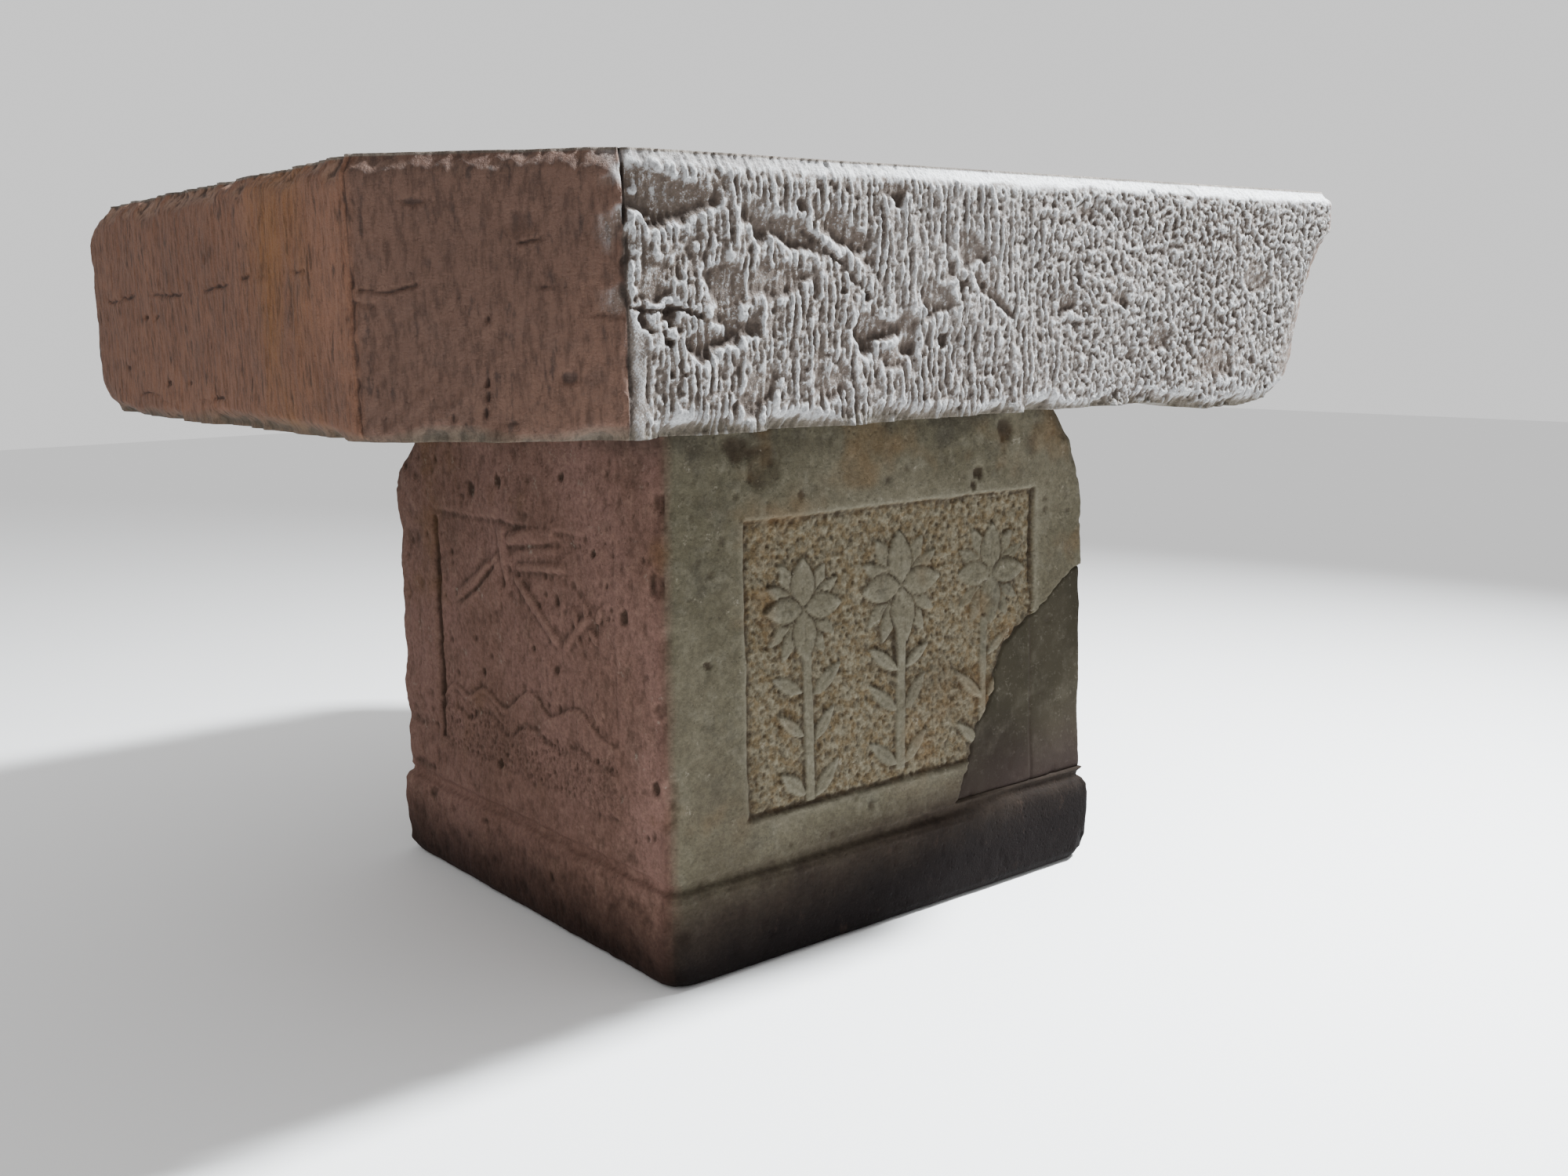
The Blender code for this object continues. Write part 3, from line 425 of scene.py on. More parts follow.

# The front and the back hold the flowers
for face, seed in ((0, 3), (2, 8)):
    here = side_of == face
    uu, zz = u[here], z[here]
    recess, inside = panel_recess(uu, zz, -0.235, 0.245, 0.181, 0.529, 0.0048, seed, 0.0026)
    raised = carved_flowers(uu, zz) * inside
    worn = 0.66 + 0.34 * noise(uu, zz, 0 * uu, 0.07, seed + 4)
    pits = picks(uu, zz, 0.0075, seed + 20) * 0.0017 + 0.0008 * rough(uu, zz, 0 * uu, 0.0070, seed + 21, 2)
    open_ground = inside * np.clip(1.0 - raised / 0.0012, 0.0, 1.0)
    quiet = 1.0 - 0.6 * smooth(0.10, 0.16, uu) * smooth(0.40, 0.30, zz)
    lift[here] += -recess + raised * np.clip(worn, 0.5, 1.0) - pits * open_ground * quiet
    lift[here] += 0.0005 * rough(uu, zz, 0 * uu, 0.006, seed + 30, 2) * inside
    foot_line = np.exp(-((zz - 0.1805) / 0.0034) ** 2)
    foot_line = foot_line * smooth(-0.243, -0.236, uu) * smooth(0.135, 0.095, uu)
    side_line = np.exp(-((uu - 0.2425) / 0.0026) ** 2)
    side_line = side_line * smooth(0.395, 0.410, zz) * smooth(0.533, 0.528, zz)
    lift[here] -= 0.0028 * foot_line + 0.0022 * side_line
    carving[here] = np.clip(raised / 0.003, 0, 1) * inside
    ground[here] = open_ground
    edge_shade_and_dirt[here] += 0.35 * foot_line + 0.4 * side_line

# The left and the right hold the bird
for face, seed in ((3, 5), (1, 11)):
    here = side_of == face
    uu, zz = u[here], z[here]
    recess, inside = panel_recess(uu, zz, -0.226, 0.226, 0.181, 0.507, 0.0046, seed, 0.004)
    recess = recess * (1 - 0.65 * smooth(0.10, 0.20, uu)) * (1 - 0.35 * smooth(0.42, 0.50, zz))
    raised = carved_bird(uu, zz) * inside
    pits = picks(uu, zz, 0.0080, seed + 20) * 0.0016
    low_band = smooth(0.262, 0.240, zz) * inside
    gutter = np.exp(-((uu + 0.2235) / 0.0062) ** 2) * smooth(0.186, 0.192, zz) * smooth(0.502, 0.490, zz)
    gutter = gutter * (0.75 + 0.35 * noise(uu, zz, 0 * uu, 0.025, seed + 2))
    lift[here] += -recess + raised * 0.92 - pits * (0.25 + 0.75 * low_band) * inside - 0.0045 * gutter
    carving[here] = np.clip(raised / 0.003, 0, 1) * inside * 0.6
    ground[here] = low_band * 0.7
    lift[here] += (0.0008 * rough(uu, zz, 0 * uu, 0.020, seed + 31, 3)
                   + 0.0004 * noise(uu / 0.006, zz / 0.022, 0 * uu, 1.0, seed + 33))
    cuts = np.clip(-raised / 0.0030, 0, 1) * inside
    edge_shade_and_dirt[here] += 0.55 * gutter + 0.50 * cuts

# Hand-dressed faces: shallow waves, scattered pits, flaked arrises, and a rough strip under the slab
plain = 1.0 - np.clip(ground + carving, 0, 1)
lift += 0.0013 * rough(x, y, z, 0.11, 90) + 0.0005 * rough(x, y, z, 0.018, 94) * (0.4 + 0.6 * plain)
middle = np.select([side == 1, side == 3], [block_back, -block_back], 0.0)
to_arris = np.where(np.isin(side, (0, 2)), front_half, flank_half) - np.abs(u - middle)
flakes = np.clip(rough(x, y, z, 0.034, 97) - 0.28, 0, 1) * smooth(0.024, 0.004, to_arris)
lift -= 0.0060 * flakes
holes = np.clip(picks(u + 0.31 * side, z, 0.021, 101) - 0.55, 0, 1) * 2.2
holes = holes * np.clip(noise(x, y, z, 0.09, 103) + 0.55, 0, 1) * smooth(0.018, 0.030, to_arris)
lift -= 0.0018 * holes * plain
tool = np.sin((u * 0.8 + z * 0.6) * 2 * math.pi / 0.0065 + 2.0 * noise(x, y, z, 0.05, 104))
border = plain * smooth(0.15, 0.19, z) * smooth(0.62, 0.56, z)
lift += 0.00022 * tool * border * np.clip(noise(x, y, z, 0.06, 105) + 0.4, 0, 1)
chipped_spots = (
    # side, place along it, height, size, depth
    (0, 0.140, 0.555, 0.009, 0.004), (0, 0.131, 0.541, 0.007, 0.003), (0, 0.190, 0.610, 0.016, 0.003),
    (0, -0.205, 0.592, 0.030, 0.0022), (0, -0.240, 0.610, 0.022, 0.003), (0, -0.290, 0.372, 0.006, 0.002),
    (3, 0.245, 0.424, 0.010, 0.003), (3, 0.110, 0.572, 0.008, 0.003), (3, -0.045, 0.556, 0.010, 0.0025),
    (3, -0.120, 0.541, 0.013, 0.0018), (3, 0.180, 0.488, 0.006, 0.003), (3, -0.060, 0.186, 0.008, 0.003),
    (3, 0.072, 0.072, 0.007, 0.002), (3, -0.250, 0.105, 0.014, 0.002), (3, 0.310, 0.470, 0.014, 0.004),
    (3, 0.318, 0.560, 0.012, 0.005), (3, 0.300, 0.235, 0.010, 0.004), (3, 0.312, 0.330, 0.010, 0.003),
)
for face, at_u, at_z, size, deep in chipped_spots:
    near = side == face
    far = np.hypot(u - at_u, z - at_z) / size
    lobed = 1 + 0.35 * noise(u, z, 0 * u, size * 0.8, 110 + int(size * 1000))
    lift -= np.where(near, deep * smooth(1.15, 0.45, far * lobed), 0.0)
    edge_shade_and_dirt += np.where(near, 0.5 * smooth(1.1, 0.4, far * lobed), 0.0)
far_left = smooth(-0.20, -0.31, u) * (side == 3) + smooth(0.31, 0.342, u) * (side == 2)
for at_z, grow, spread in ((0.525, 0.0040, 0.026), (0.462, -0.0035, 0.018), (0.243, 0.0050, 0.024),
                           (0.200, -0.0030, 0.012), (0.135, -0.0030, 0.010)):
    lift += grow * np.exp(-((z - at_z) / spread) ** 2) * far_left
cut_back = smooth(-0.0005, 0.0045, inside_repair(side, u, z))
pedestal_lift = lift * (1 - cut_back) - 0.0120 * cut_back
fade = smooth(0.0, 0.006, z)
block = np.stack([x + out_x * pedestal_lift * fade, y + out_y * pedestal_lift * fade, z], -1)

# Channel down the middle for the drain, and the level foot and bed that join it to the sides
count, rows = block.shape[:2]
turn = np.arctan2(block[:, 0, 1], block[:, 0, 0])
channel = 0.065
foot_rings, top_rings = [], []
channel_foot = np.stack([channel * np.cos(turn), channel * np.sin(turn), 0 * turn], -1)
channel_top = channel_foot + (0.0, 0.0, block_top)
for t in (0.0, 0.4, 0.8):
    foot_rings.append(channel_foot * (1 - t) + block[:, 0] * t)
for t in (0.4, 0.8):
    top_rings.append(channel_top * t + block[:, -1] * (1 - t))
rings = foot_rings + [block[:, j] for j in range(rows)] + top_rings + [channel_top]
shades = np.zeros((len(rings), count, 4))
# red brown by the way each face turns: partly weathering, partly painted warm light on the faces turned to the
# left
faces_left = np.clip(-out_x, 0, 1) ** 1.5
brown = np.select([side == 3, side == 0, side == 1], [0.15 + 0.85 * faces_left, 0.9 * faces_left, 0.25], 0.5)
sunken = relief_of(lift * (1 - cut_back), 4)
calm = 1 - 0.6 * smooth(0.100, 0.112, z) * smooth(0.140, 0.128, z)
calm = calm * (0.25 + 0.75 * smooth(0.012, 0.030, to_arris))
# painted shade and dirt: dark where the surface lies below the stone around it, and in corners and cuts
hollow = np.clip(edge_shade_and_dirt * 0.7 + 0.95 * np.clip(sunken / 0.0015, 0, 1) * calm, 0, 1)
# painted highlight on the carving and on whatever stands above the stone around it
crest_highlight = np.clip(0.15 * carving + 0.8 * np.clip(-sunken / 0.0014, 0, 1) * calm, 0, 1)
masks = np.stack([brown, hollow, ground, crest_highlight], -1)
shades[len(foot_rings):len(foot_rings) + rows] = masks.transpose(1, 0, 2)
pedestal = mesh_piece("pedestal_stone", np.concatenate(rings),
                      ring_quads(len(rings), count, close=True), shades.reshape(-1, 4))
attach(pedestal, "font")
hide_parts("pedestal_block")


class Shader:
    """Short names for the nodes that a stone or metal finish is built from."""

    def __init__(self, name, metallic=0.0, roughness=0.8, shine=0.5):
        self.material = bpy.data.materials.new(name)
        self.material.use_nodes = True
        self.tree = self.material.node_tree
        self.surface = self.tree.nodes["Principled BSDF"]
        self.surface.inputs["Metallic"].default_value = metallic
        self.surface.inputs["Roughness"].default_value = roughness
        self.surface.inputs["Specular IOR Level"].default_value = shine
        self.place = self.tree.nodes.new("ShaderNodeTexCoord").outputs["Object"]

    def link(self, source, socket):
        """Joins an output to a socket, or sets the socket to a number or colour."""
        if hasattr(source, "is_output"):
            self.tree.links.new(source, socket)
        elif isinstance(source, (tuple, list)) and len(source) == 3 and socket.type == "RGBA":
            socket.default_value = (*source, 1.0)
        else:
            socket.default_value = source

    def node(self, kind, output, **inputs):
        made = self.tree.nodes.new(kind)
        for name, value in inputs.items():
            self.link(value, made.inputs[name])
        return made.outputs[output]

    def noise(self, scale, detail=4.0, rough=0.55, stretch=None):
        return self.node("ShaderNodeTexNoise", "Fac", Vector=self.scaled(stretch), Scale=scale,
                         Detail=detail, Roughness=rough)

    def cells(self, scale, random=1.0):
        return self.node("ShaderNodeTexVoronoi", "Distance", Vector=self.place, Scale=scale,
                         Randomness=random)

    def scaled(self, stretch):
        if stretch is None:
            return self.place
        return self.node("ShaderNodeMapping", "Vector", Vector=self.place, Scale=stretch)

    def between(self, value, low, high, to_low=0.0, to_high=1.0):
        made = self.tree.nodes.new("ShaderNodeMapRange")
        made.interpolation_type = "SMOOTHSTEP"
        for socket, number in zip(("Value", "From Min", "From Max", "To Min", "To Max"),
                                  (value, low, high, to_low, to_high)):
            self.link(number, made.inputs[socket])
        return made.outputs["Result"]

    def mix(self, amount, first, second, kind="MIX"):
        made = self.tree.nodes.new("ShaderNodeMix")
        made.data_type, made.blend_type = "RGBA", kind
        self.link(amount, made.inputs["Factor"])
        self.link(first, made.inputs["A"])
        self.link(second, made.inputs["B"])
        return made.outputs["Result"]

    def times(self, first, second):
        return self.math("MULTIPLY", first, second)

    def wavering(self, value, by, reach):
        """The value moved up and down by up to half the reach."""
        return self.math("ADD", value, self.times(self.math("SUBTRACT", by, 0.5), reach))

    def math(self, how, first, second=0.0):
        made = self.tree.nodes.new("ShaderNodeMath")
        made.operation = how
        self.link(first, made.inputs[0])
        self.link(second, made.inputs[1])
        return made.outputs["Value"]

    def axes(self):
        made = self.tree.nodes.new("ShaderNodeSeparateXYZ")
        self.link(self.place, made.inputs["Vector"])
        return made.outputs["X"], made.outputs["Y"], made.outputs["Z"]

    def masks(self):
        """The four masks stored with the mesh."""
        read = self.tree.nodes.new("ShaderNodeAttribute")
        read.attribute_name = "surface"
        split = self.tree.nodes.new("ShaderNodeSeparateColor")
        self.link(read.outputs["Color"], split.inputs["Color"])
        return split.outputs["Red"], split.outputs["Green"], split.outputs["Blue"], read.outputs["Alpha"]

    def bump(self, height, strength, distance, under=None):
        made = self.tree.nodes.new("ShaderNodeBump")
        made.inputs["Strength"].default_value = strength
        made.inputs["Distance"].default_value = distance
        self.link(height, made.inputs["Height"])
        if under is not None:
            self.link(under, made.inputs["Normal"])
        return made.outputs["Normal"]

    def finish(self, colour, normal=None, roughness=None):
        self.link(colour, self.surface.inputs["Base Color"])
        if normal is not None:
            self.link(normal, self.surface.inputs["Normal"])
        if roughness is not None:
            self.link(roughness, self.surface.inputs["Roughness"])
        return self.material


def pedestal_finish():
    """Sandstone weathered olive grey on the front and red brown on the left, the red brown partly painted warm
    light, with painted shade in its hollows and under the slab, painted highlights on its crests, and going
    black towards its foot.
    """
    s = Shader("pedestal_stone_finish", roughness=0.86, shine=0.08)
    brown, hollow, picked, crest_highlight = s.masks()
    x, y, z = s.axes()
    cloud, patchy, grain = s.noise(4.0, 5.0), s.noise(19.0, 6.0, 0.62), s.noise(420.0, 3.0, 0.7)
    flecks, blots = s.noise(170.0, 4.0, 0.72), s.noise(46.0, 5.0, 0.7)
    speck, pores = s.cells(170.0), s.cells(95.0, random=0.9)
    olive = s.mix(s.between(cloud, 0.35, 0.65), (0.074, 0.065, 0.042), (0.104, 0.091, 0.062))
    olive = s.mix(s.between(patchy, 0.50, 0.72, 0.0, 0.7), olive, (0.056, 0.050, 0.037))
    olive = s.mix(s.between(blots, 0.50, 0.34, 0.0, 0.5), olive, (0.128, 0.116, 0.086))
    rusted = s.between(s.noise(75.0, 4.0, 0.7), 0.42, 0.60)
    ochre = s.mix(rusted, (0.168, 0.144, 0.098), (0.120, 0.084, 0.042))
    olive = s.mix(s.times(picked, 0.80), olive, ochre)
    # painted highlight on the crests of the olive sides
    olive = s.mix(s.times(crest_highlight, 0.60), olive, (0.165, 0.150, 0.112))
    warm = s.mix(s.between(cloud, 0.35, 0.65), (0.158, 0.088, 0.067), (0.218, 0.124, 0.101))
    warm = s.mix(s.between(patchy, 0.50, 0.74, 0.0, 0.65), warm, (0.100, 0.059, 0.044))
    warm = s.mix(s.between(blots, 0.48, 0.34, 0.0, 0.45), warm, (0.240, 0.146, 0.112))
    # painted highlight on the crests of the red brown sides
    warm = s.mix(s.times(crest_highlight, 0.40), warm, (0.250, 0.150, 0.114))
    broad = s.noise(2.6, 3.0)
    olive = s.mix(s.between(broad, 0.52, 0.66, 0.0, 0.55), olive, (0.060, 0.048, 0.032))
    near_arris = s.times(s.between(y, -0.300, -0.328), s.between(x, -0.290, -0.320))
    warm = s.mix(s.times(near_arris, 0.62), warm, (0.052, 0.024, 0.017))
    # olive grey and red brown by face: partly weathering, partly painted warm light on the left
    colour = s.mix(brown, olive, warm)
    # painted shadow under the slab's overhang, in patches along the top of the block
    shade_under_slab = s.times(s.between(z, 0.585, 0.632), s.between(s.noise(9.0, 5.0, 0.7), 0.45, 0.60))
    colour = s.mix(s.times(shade_under_slab, 0.60), colour, (0.024, 0.020, 0.015))
    # painted shade and dirt in the hollows, corners and cuts
    colour = s.mix(s.times(hollow, 0.80), colour, (0.024, 0.015, 0.009))
    # darker towards the foot, more on the front than on the sides, and near black at the very foot
    wavy = s.wavering(z, patchy, 0.07)
    wavy = s.math("SUBTRACT", wavy, s.times(x, 0.11))
    front_darkening = s.between(wavy, 0.185, 0.105)
    side_darkening = s.times(s.between(wavy, 0.150, 0.085), 0.25)
    low_darkening = s.mix(brown, front_darkening, side_darkening)
    colour = s.mix(s.times(low_darkening, 0.85), colour, (0.022, 0.013, 0.0095))
    foot = s.between(wavy, 0.155, 0.040)
    foot = s.times(foot, s.between(brown, 0.3, 1.0, 0.97, 0.80))
    colour = s.mix(foot, colour, (0.0030, 0.0015, 0.0015))
    dry = s.math("SUBTRACT", 1.0, s.between(z, 0.20, 0.14))
    rusty = s.times(s.between(s.noise(7.0, 3.0), 0.56, 0.70), dry)
    colour = s.mix(s.times(rusty, 0.40), colour, (0.120, 0.062, 0.020))
    lime = s.times(s.between(s.noise(33.0, 6.0, 0.75), 0.60, 0.68), s.between(flecks, 0.45, 0.6))
    colour = s.mix(s.times(s.times(lime, dry), 0.55), colour, (0.250, 0.225, 0.180))
    dots = s.times(s.between(speck, 0.17, 0.05), s.between(s.noise(60.0, 2.0), 0.50, 0.60))
    colour = s.mix(s.times(dots, 0.75), colour, (0.024, 0.018, 0.014))
    strokes = s.between(s.noise(80.0, 4.0, 0.65, stretch=(1.0, 1.0, 0.45)), 0.38, 0.28)
    strokes = s.times(strokes, s.between(brown, 0.0, 1.0, 0.25, 0.30))
    colour = s.mix(strokes, colour, (0.040, 0.025, 0.018))
    shade = s.mix(s.between(flecks, 0.28, 0.72), (0.38, 0.37, 0.36), (1.0, 1.0, 1.0))
    colour = s.mix(s.math("ADD", 0.55, s.times(picked, 0.35)), colour, shade, "MULTIPLY")
    colour = s.mix(0.40, colour, s.mix(grain, (0.5, 0.5, 0.5), (1.0, 1.0, 1.0)), "MULTIPLY")
    normal = s.bump(grain, 0.35, 0.0012)
    normal = s.bump(s.between(pores, 0.30, 0.02), 0.35, -0.0022, normal)
    normal = s.bump(flecks, 0.6, 0.0022, normal)
    return s.finish(colour, normal, s.between(grain, 0.2, 0.9, 0.78, 0.95))


pedestal.data.materials.append(pedestal_finish())


# The repair: a smooth, darker piece let into the front's broken lower right corner, bedded in
# mortar and held by two brass pins. The panel's border line was cut on across it.


def plate_from_grid(name, outer, inner, keep, shades):
    """A closed plate from two matching grids of points, using only the squares marked in keep."""
    wide, tall = outer.shape[:2]
    index = np.arange(wide * tall).reshape(wide, tall)
    a, b, c, d = index[:-1, :-1], index[1:, :-1], index[1:, 1:], index[:-1, 1:]
    far = wide * tall
    faces = [np.stack([a, b, c, d], -1)[keep], np.stack([a, d, c, b], -1)[keep] + far]
    padded = np.pad(keep, 1)
    for first, last, beside in ((a, b, padded[1:-1, :-2]), (b, c, padded[2:, 1:-1]),
                                (c, d, padded[1:-1, 2:]), (d, a, padded[:-2, 1:-1])):
        edge = keep & ~beside
        p, q = first[edge], last[edge]
        faces.append(np.stack([q, p, p + far, q + far], -1))
    faces = np.concatenate(faces)
    used, faces = np.unique(faces, return_inverse=True)
    points = np.concatenate([outer.reshape(-1, 3), inner.reshape(-1, 3)])[used]
    colours = np.concatenate([shades.reshape(-1, 4)] * 2)[used]
    return mesh_piece(name, points, faces.reshape(-1, 4), colours)


first = int(np.argmax((side_of == 0) & (along * front_half > 0.085)))
last = int(np.argmax((side_of == 1) & (along * flank_half > -0.255)))
grid = slice(first, last)
deep = inside_repair(side, u, z)[grid]
px, py, pz, pu = x[grid], y[grid], z[grid], u[grid]
face = -0.0036 + 0.0007 * rough(px, py, pz, 0.09, 131) + 0.00025 * rough(px, py, pz, 0.012, 133)
face -= 0.0030 * (1 - smooth(0.0005, 0.0050, deep))
cut_line = np.exp(-((pu - 0.2435 - 0.0008 * noise(pu, pz, 0 * pu, 0.03, 134)) / 0.0021) ** 2)
cut_line = cut_line * (side[grid] == 0) * smooth(0.372, 0.362, pz)
cut_line = cut_line * (0.7 + 0.3 * noise(px, py, pz, 0.02, 135))
face -= 0.0022 * cut_line
dents = np.clip(picks(pu, pz, 0.030, 137) - 0.72, 0, 1) * 3.0
face -= 0.0018 * dents
patch_out = np.stack([out_x[grid], out_y[grid], 0 * px], -1)
flat = np.stack([px, py, pz], -1)
keep = (deep[:-1, :-1] + deep[1:, :-1] + deep[1:, 1:] + deep[:-1, 1:]) / 4 > -0.0030
patch_hollow = np.clip(0.8 * cut_line + dents * 0.5 + 0.7 * (1 - smooth(0, 0.004, deep)), 0, 1)
patch_shades = np.stack([0 * px, patch_hollow, 0 * px, 0 * px + 1], -1)
repair = plate_from_grid("pedestal_repair_stone", flat + patch_out * face[..., None],
                         flat - patch_out * 0.0115, keep, patch_shades)
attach(repair, "font")
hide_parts("pedestal_repair")


def repair_finish():
    """Fine grey-brown stone paste, rubbed smooth, with soot and lime blooms on it."""
    s = Shader("repair_stone_finish", roughness=0.85, shine=0.08)
    hollow, z = s.masks()[1], s.axes()[2]
    cloud, patchy, grain = s.noise(6.0, 4.0), s.noise(30.0, 6.0, 0.65), s.noise(520.0, 3.0, 0.7)
    colour = s.mix(s.between(cloud, 0.35, 0.65), (0.016, 0.0130, 0.0074), (0.026, 0.0215, 0.0128))
    colour = s.mix(s.between(patchy, 0.48, 0.70, 0.0, 0.8), colour, (0.042, 0.036, 0.025))
    flecks = s.noise(150.0, 5.0, 0.75)
    colour = s.mix(s.between(flecks, 0.56, 0.68, 0.0, 0.45), colour, (0.085, 0.076, 0.058))
    colour = s.mix(s.times(hollow, 0.8), colour, (0.030, 0.022, 0.017))
    low = s.between(s.wavering(z, cloud, 0.08), 0.26, 0.12)
    colour = s.mix(s.times(low, 0.85), colour, (0.014, 0.008, 0.007))
    colour = s.mix(0.3, colour, s.mix(grain, (0.6, 0.6, 0.6), (1.0, 1.0, 1.0)), "MULTIPLY")
    normal = s.bump(grain, 0.25, 0.0008)
    normal = s.bump(s.noise(110.0, 4.0, 0.65), 0.35, 0.0012, normal)
    return s.finish(colour, normal, s.between(grain, 0.2, 0.9, 0.70, 0.90))


repair.data.materials.append(repair_finish())


def metal_finish(name, bright, shaded_warm, spots, metallic, roughness, scale=40.0):
    """Plain metal with a patchy tarnish and fine scratches."""
    s = Shader(name, metallic=metallic, roughness=roughness)
    patchy, fine_grain = s.noise(scale, 5.0, 0.6), s.noise(scale * 14, 3.0, 0.6)
    colour = s.mix(s.between(patchy, 0.38, 0.64), bright, shaded_warm)
    colour = s.mix(s.between(s.noise(scale * 3.1, 4.0, 0.6), 0.62, 0.72, 0.0, 0.8), colour, spots)
    normal = s.bump(fine_grain, 0.15, 0.0003)
    normal = s.bump(patchy, 0.2, 0.0006, normal)
    rough_spots = s.between(patchy, 0.35, 0.70, max(0.05, roughness - 0.10), roughness + 0.18)
    return s.finish(colour, normal, rough_spots)


def repaint(node, finish):
    """Gives a piece that is shown just as it was made its real finish."""
    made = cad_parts[node]
    made.data.materials.clear()
    made.data.materials.append(finish)


pin_brass = metal_finish("pin_brass_finish", (0.46, 0.32, 0.13), (0.24, 0.17, 0.08), (0.10, 0.13, 0.07),
                         1.0, 0.40)
for pin in ("repair_pin_1", "repair_pin_2"):
    repaint(pin, pin_brass)

# The bed between the two blocks: lime mortar, set back from the edges, with four slips of slate
# that level the slab. Four iron dowels run in with molten lead keep the slab from shifting.


def mortar_finish():
    """Pale lime with grains of sand in it."""
    s = Shader("lime_mortar_finish", roughness=0.9)
    cloud, sand = s.noise(24.0, 5.0, 0.6), s.cells(260.0)
    colour = s.mix(s.between(cloud, 0.35, 0.65), (0.40, 0.37, 0.29), (0.52, 0.49, 0.40))
    colour = s.mix(s.between(sand, 0.20, 0.05, 0.0, 0.6), colour, (0.22, 0.17, 0.11))
    normal = s.bump(s.noise(300.0, 4.0, 0.7), 0.6, 0.0012)
    return s.finish(colour, s.bump(sand, 0.4, 0.0008, normal))


def slate_finish():
    """Dark slate, split along its level layers."""
    s = Shader("slate_finish", roughness=0.65)
    layers = s.noise(30.0, 6.0, 0.7, stretch=(1.0, 1.0, 14.0))
    colour = s.mix(s.between(layers, 0.35, 0.65), (0.060, 0.066, 0.074), (0.115, 0.120, 0.128))
    return s.finish(colour, s.bump(layers, 0.5, 0.0008), s.between(layers, 0.3, 0.7, 0.5, 0.8))


repaint("bedding_mortar", mortar_finish())
slate = slate_finish()
iron = metal_finish("rusted_iron_finish", (0.085, 0.050, 0.032), (0.150, 0.062, 0.028),
                    (0.040, 0.030, 0.026), 0.35, 0.75, 90.0)
poured_lead = metal_finish("poured_lead_finish", (0.30, 0.31, 0.33), (0.19, 0.20, 0.21), (0.42, 0.43, 0.43),
                           0.85, 0.48, 70.0)
for k in range(1, 5):
    repaint("levelling_shim_%d" % k, slate)
    repaint("dowel_%d" % k, iron)
    repaint("dowel_lead_%d" % k, poured_lead)

# The basin slab: one thick block with its corners cut back, hollowed on top into a round bowl.
# Its front was left with the marks of the point chisel inside narrow smooth margins, its other
# sides were dressed finer, and a lower corner at the front's right has broken away.
slab_low, slab_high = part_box("basin_slab")
reach_x, reach_y, corner_cut = slab_high.x, -slab_low.y, 0.175
slab_corners = [(-reach_x + corner_cut, -reach_y), (reach_x - corner_cut, -reach_y),
                (reach_x, -reach_y + corner_cut), (reach_x, reach_y - corner_cut),
                (reach_x - corner_cut, reach_y), (-reach_x + corner_cut, reach_y),
                (-reach_x, reach_y - corner_cut), (-reach_x, -reach_y + corner_cut)]
# the sides run from the front round by the right, with a cut corner after each long side
side_steps = (0.0016, 0.0050, 0.0060, 0.0070, 0.0060, 0.0055, 0.0036, 0.0030)
near_corner = 0.012
outline = []
for k in range(8):
    (ax, ay), (bx, by) = slab_corners[k], slab_corners[(k + 1) % 8]
    length = math.hypot(bx - ax, by - ay)
    steps = spaced((0.0, near_corner, 0.002), (near_corner, length - near_corner, side_steps[k]),
                   (length - near_corner, length, 0.002))[:-1]
    for step in steps:
        # side, place, outward direction, place along the side from its middle, distance to its nearer end
        outline.append((k, ax + (bx - ax) * step / length, ay + (by - ay) * step / length,
                        (by - ay) / length, -(bx - ax) / length, step - length / 2, min(step, length - step)))
slab_side, slab_x, slab_y, *rest_of_outline = np.array(outline).T
slab_heights = spaced((slab_low.z, 0.666, 0.0020), (0.666, 0.884, 0.0021), (0.884, slab_high.z, 0.0016))
sside = slab_side.astype(int)[:, None] + 0 * slab_heights[None, :].astype(int)
sx, sy, nx, ny, w, end = (column[:, None] + 0 * slab_heights[None, :]
                          for column in (slab_x, slab_y, *rest_of_outline))
sz = slab_heights[None, :] + 0 * sx
# at each corner the outward direction turns evenly from one side to the next
start_of = np.searchsorted(slab_side, np.arange(8))
side_nx, side_ny = nx[start_of, 0], ny[start_of, 0]
beside_side = np.where(w < 0, (sside - 1) % 8, (sside + 1) % 8)
turning = 0.5 * (1 - smooth(0.0, near_corner, end))
nx, ny = (nx * (1 - turning) + side_nx[beside_side] * turning,
          ny * (1 - turning) + side_ny[beside_side] * turning)
nx, ny = nx / np.hypot(nx, ny), ny / np.hypot(nx, ny)
lift = np.zeros_like(sx)
bare = np.zeros_like(sx)  # broken or flaked stone


def flake(u, v, at, size, deep, turn, seed):
    """A flake lost from the face: shallow at its upper edge and deepest along its lower one."""
    cos, sin = math.cos(math.radians(turn)), math.sin(math.radians(turn))
    du, dv = (u - at[0]) * cos + (v - at[1]) * sin, -(u - at[0]) * sin + (v - at[1]) * cos
    bent = 1 + 0.55 * rough(u, v, 0 * u, size[0] * 0.8, seed, 2)
    far = np.hypot(du / size[0], dv / size[1]) * bent
    bowl = smooth(1.15, 0.62, far)
    return deep * bowl * (0.50 - 0.40 * np.clip(dv / size[1], -1, 1)), bowl


front = sside == 0
fu, fz = sx[front], sz[front]
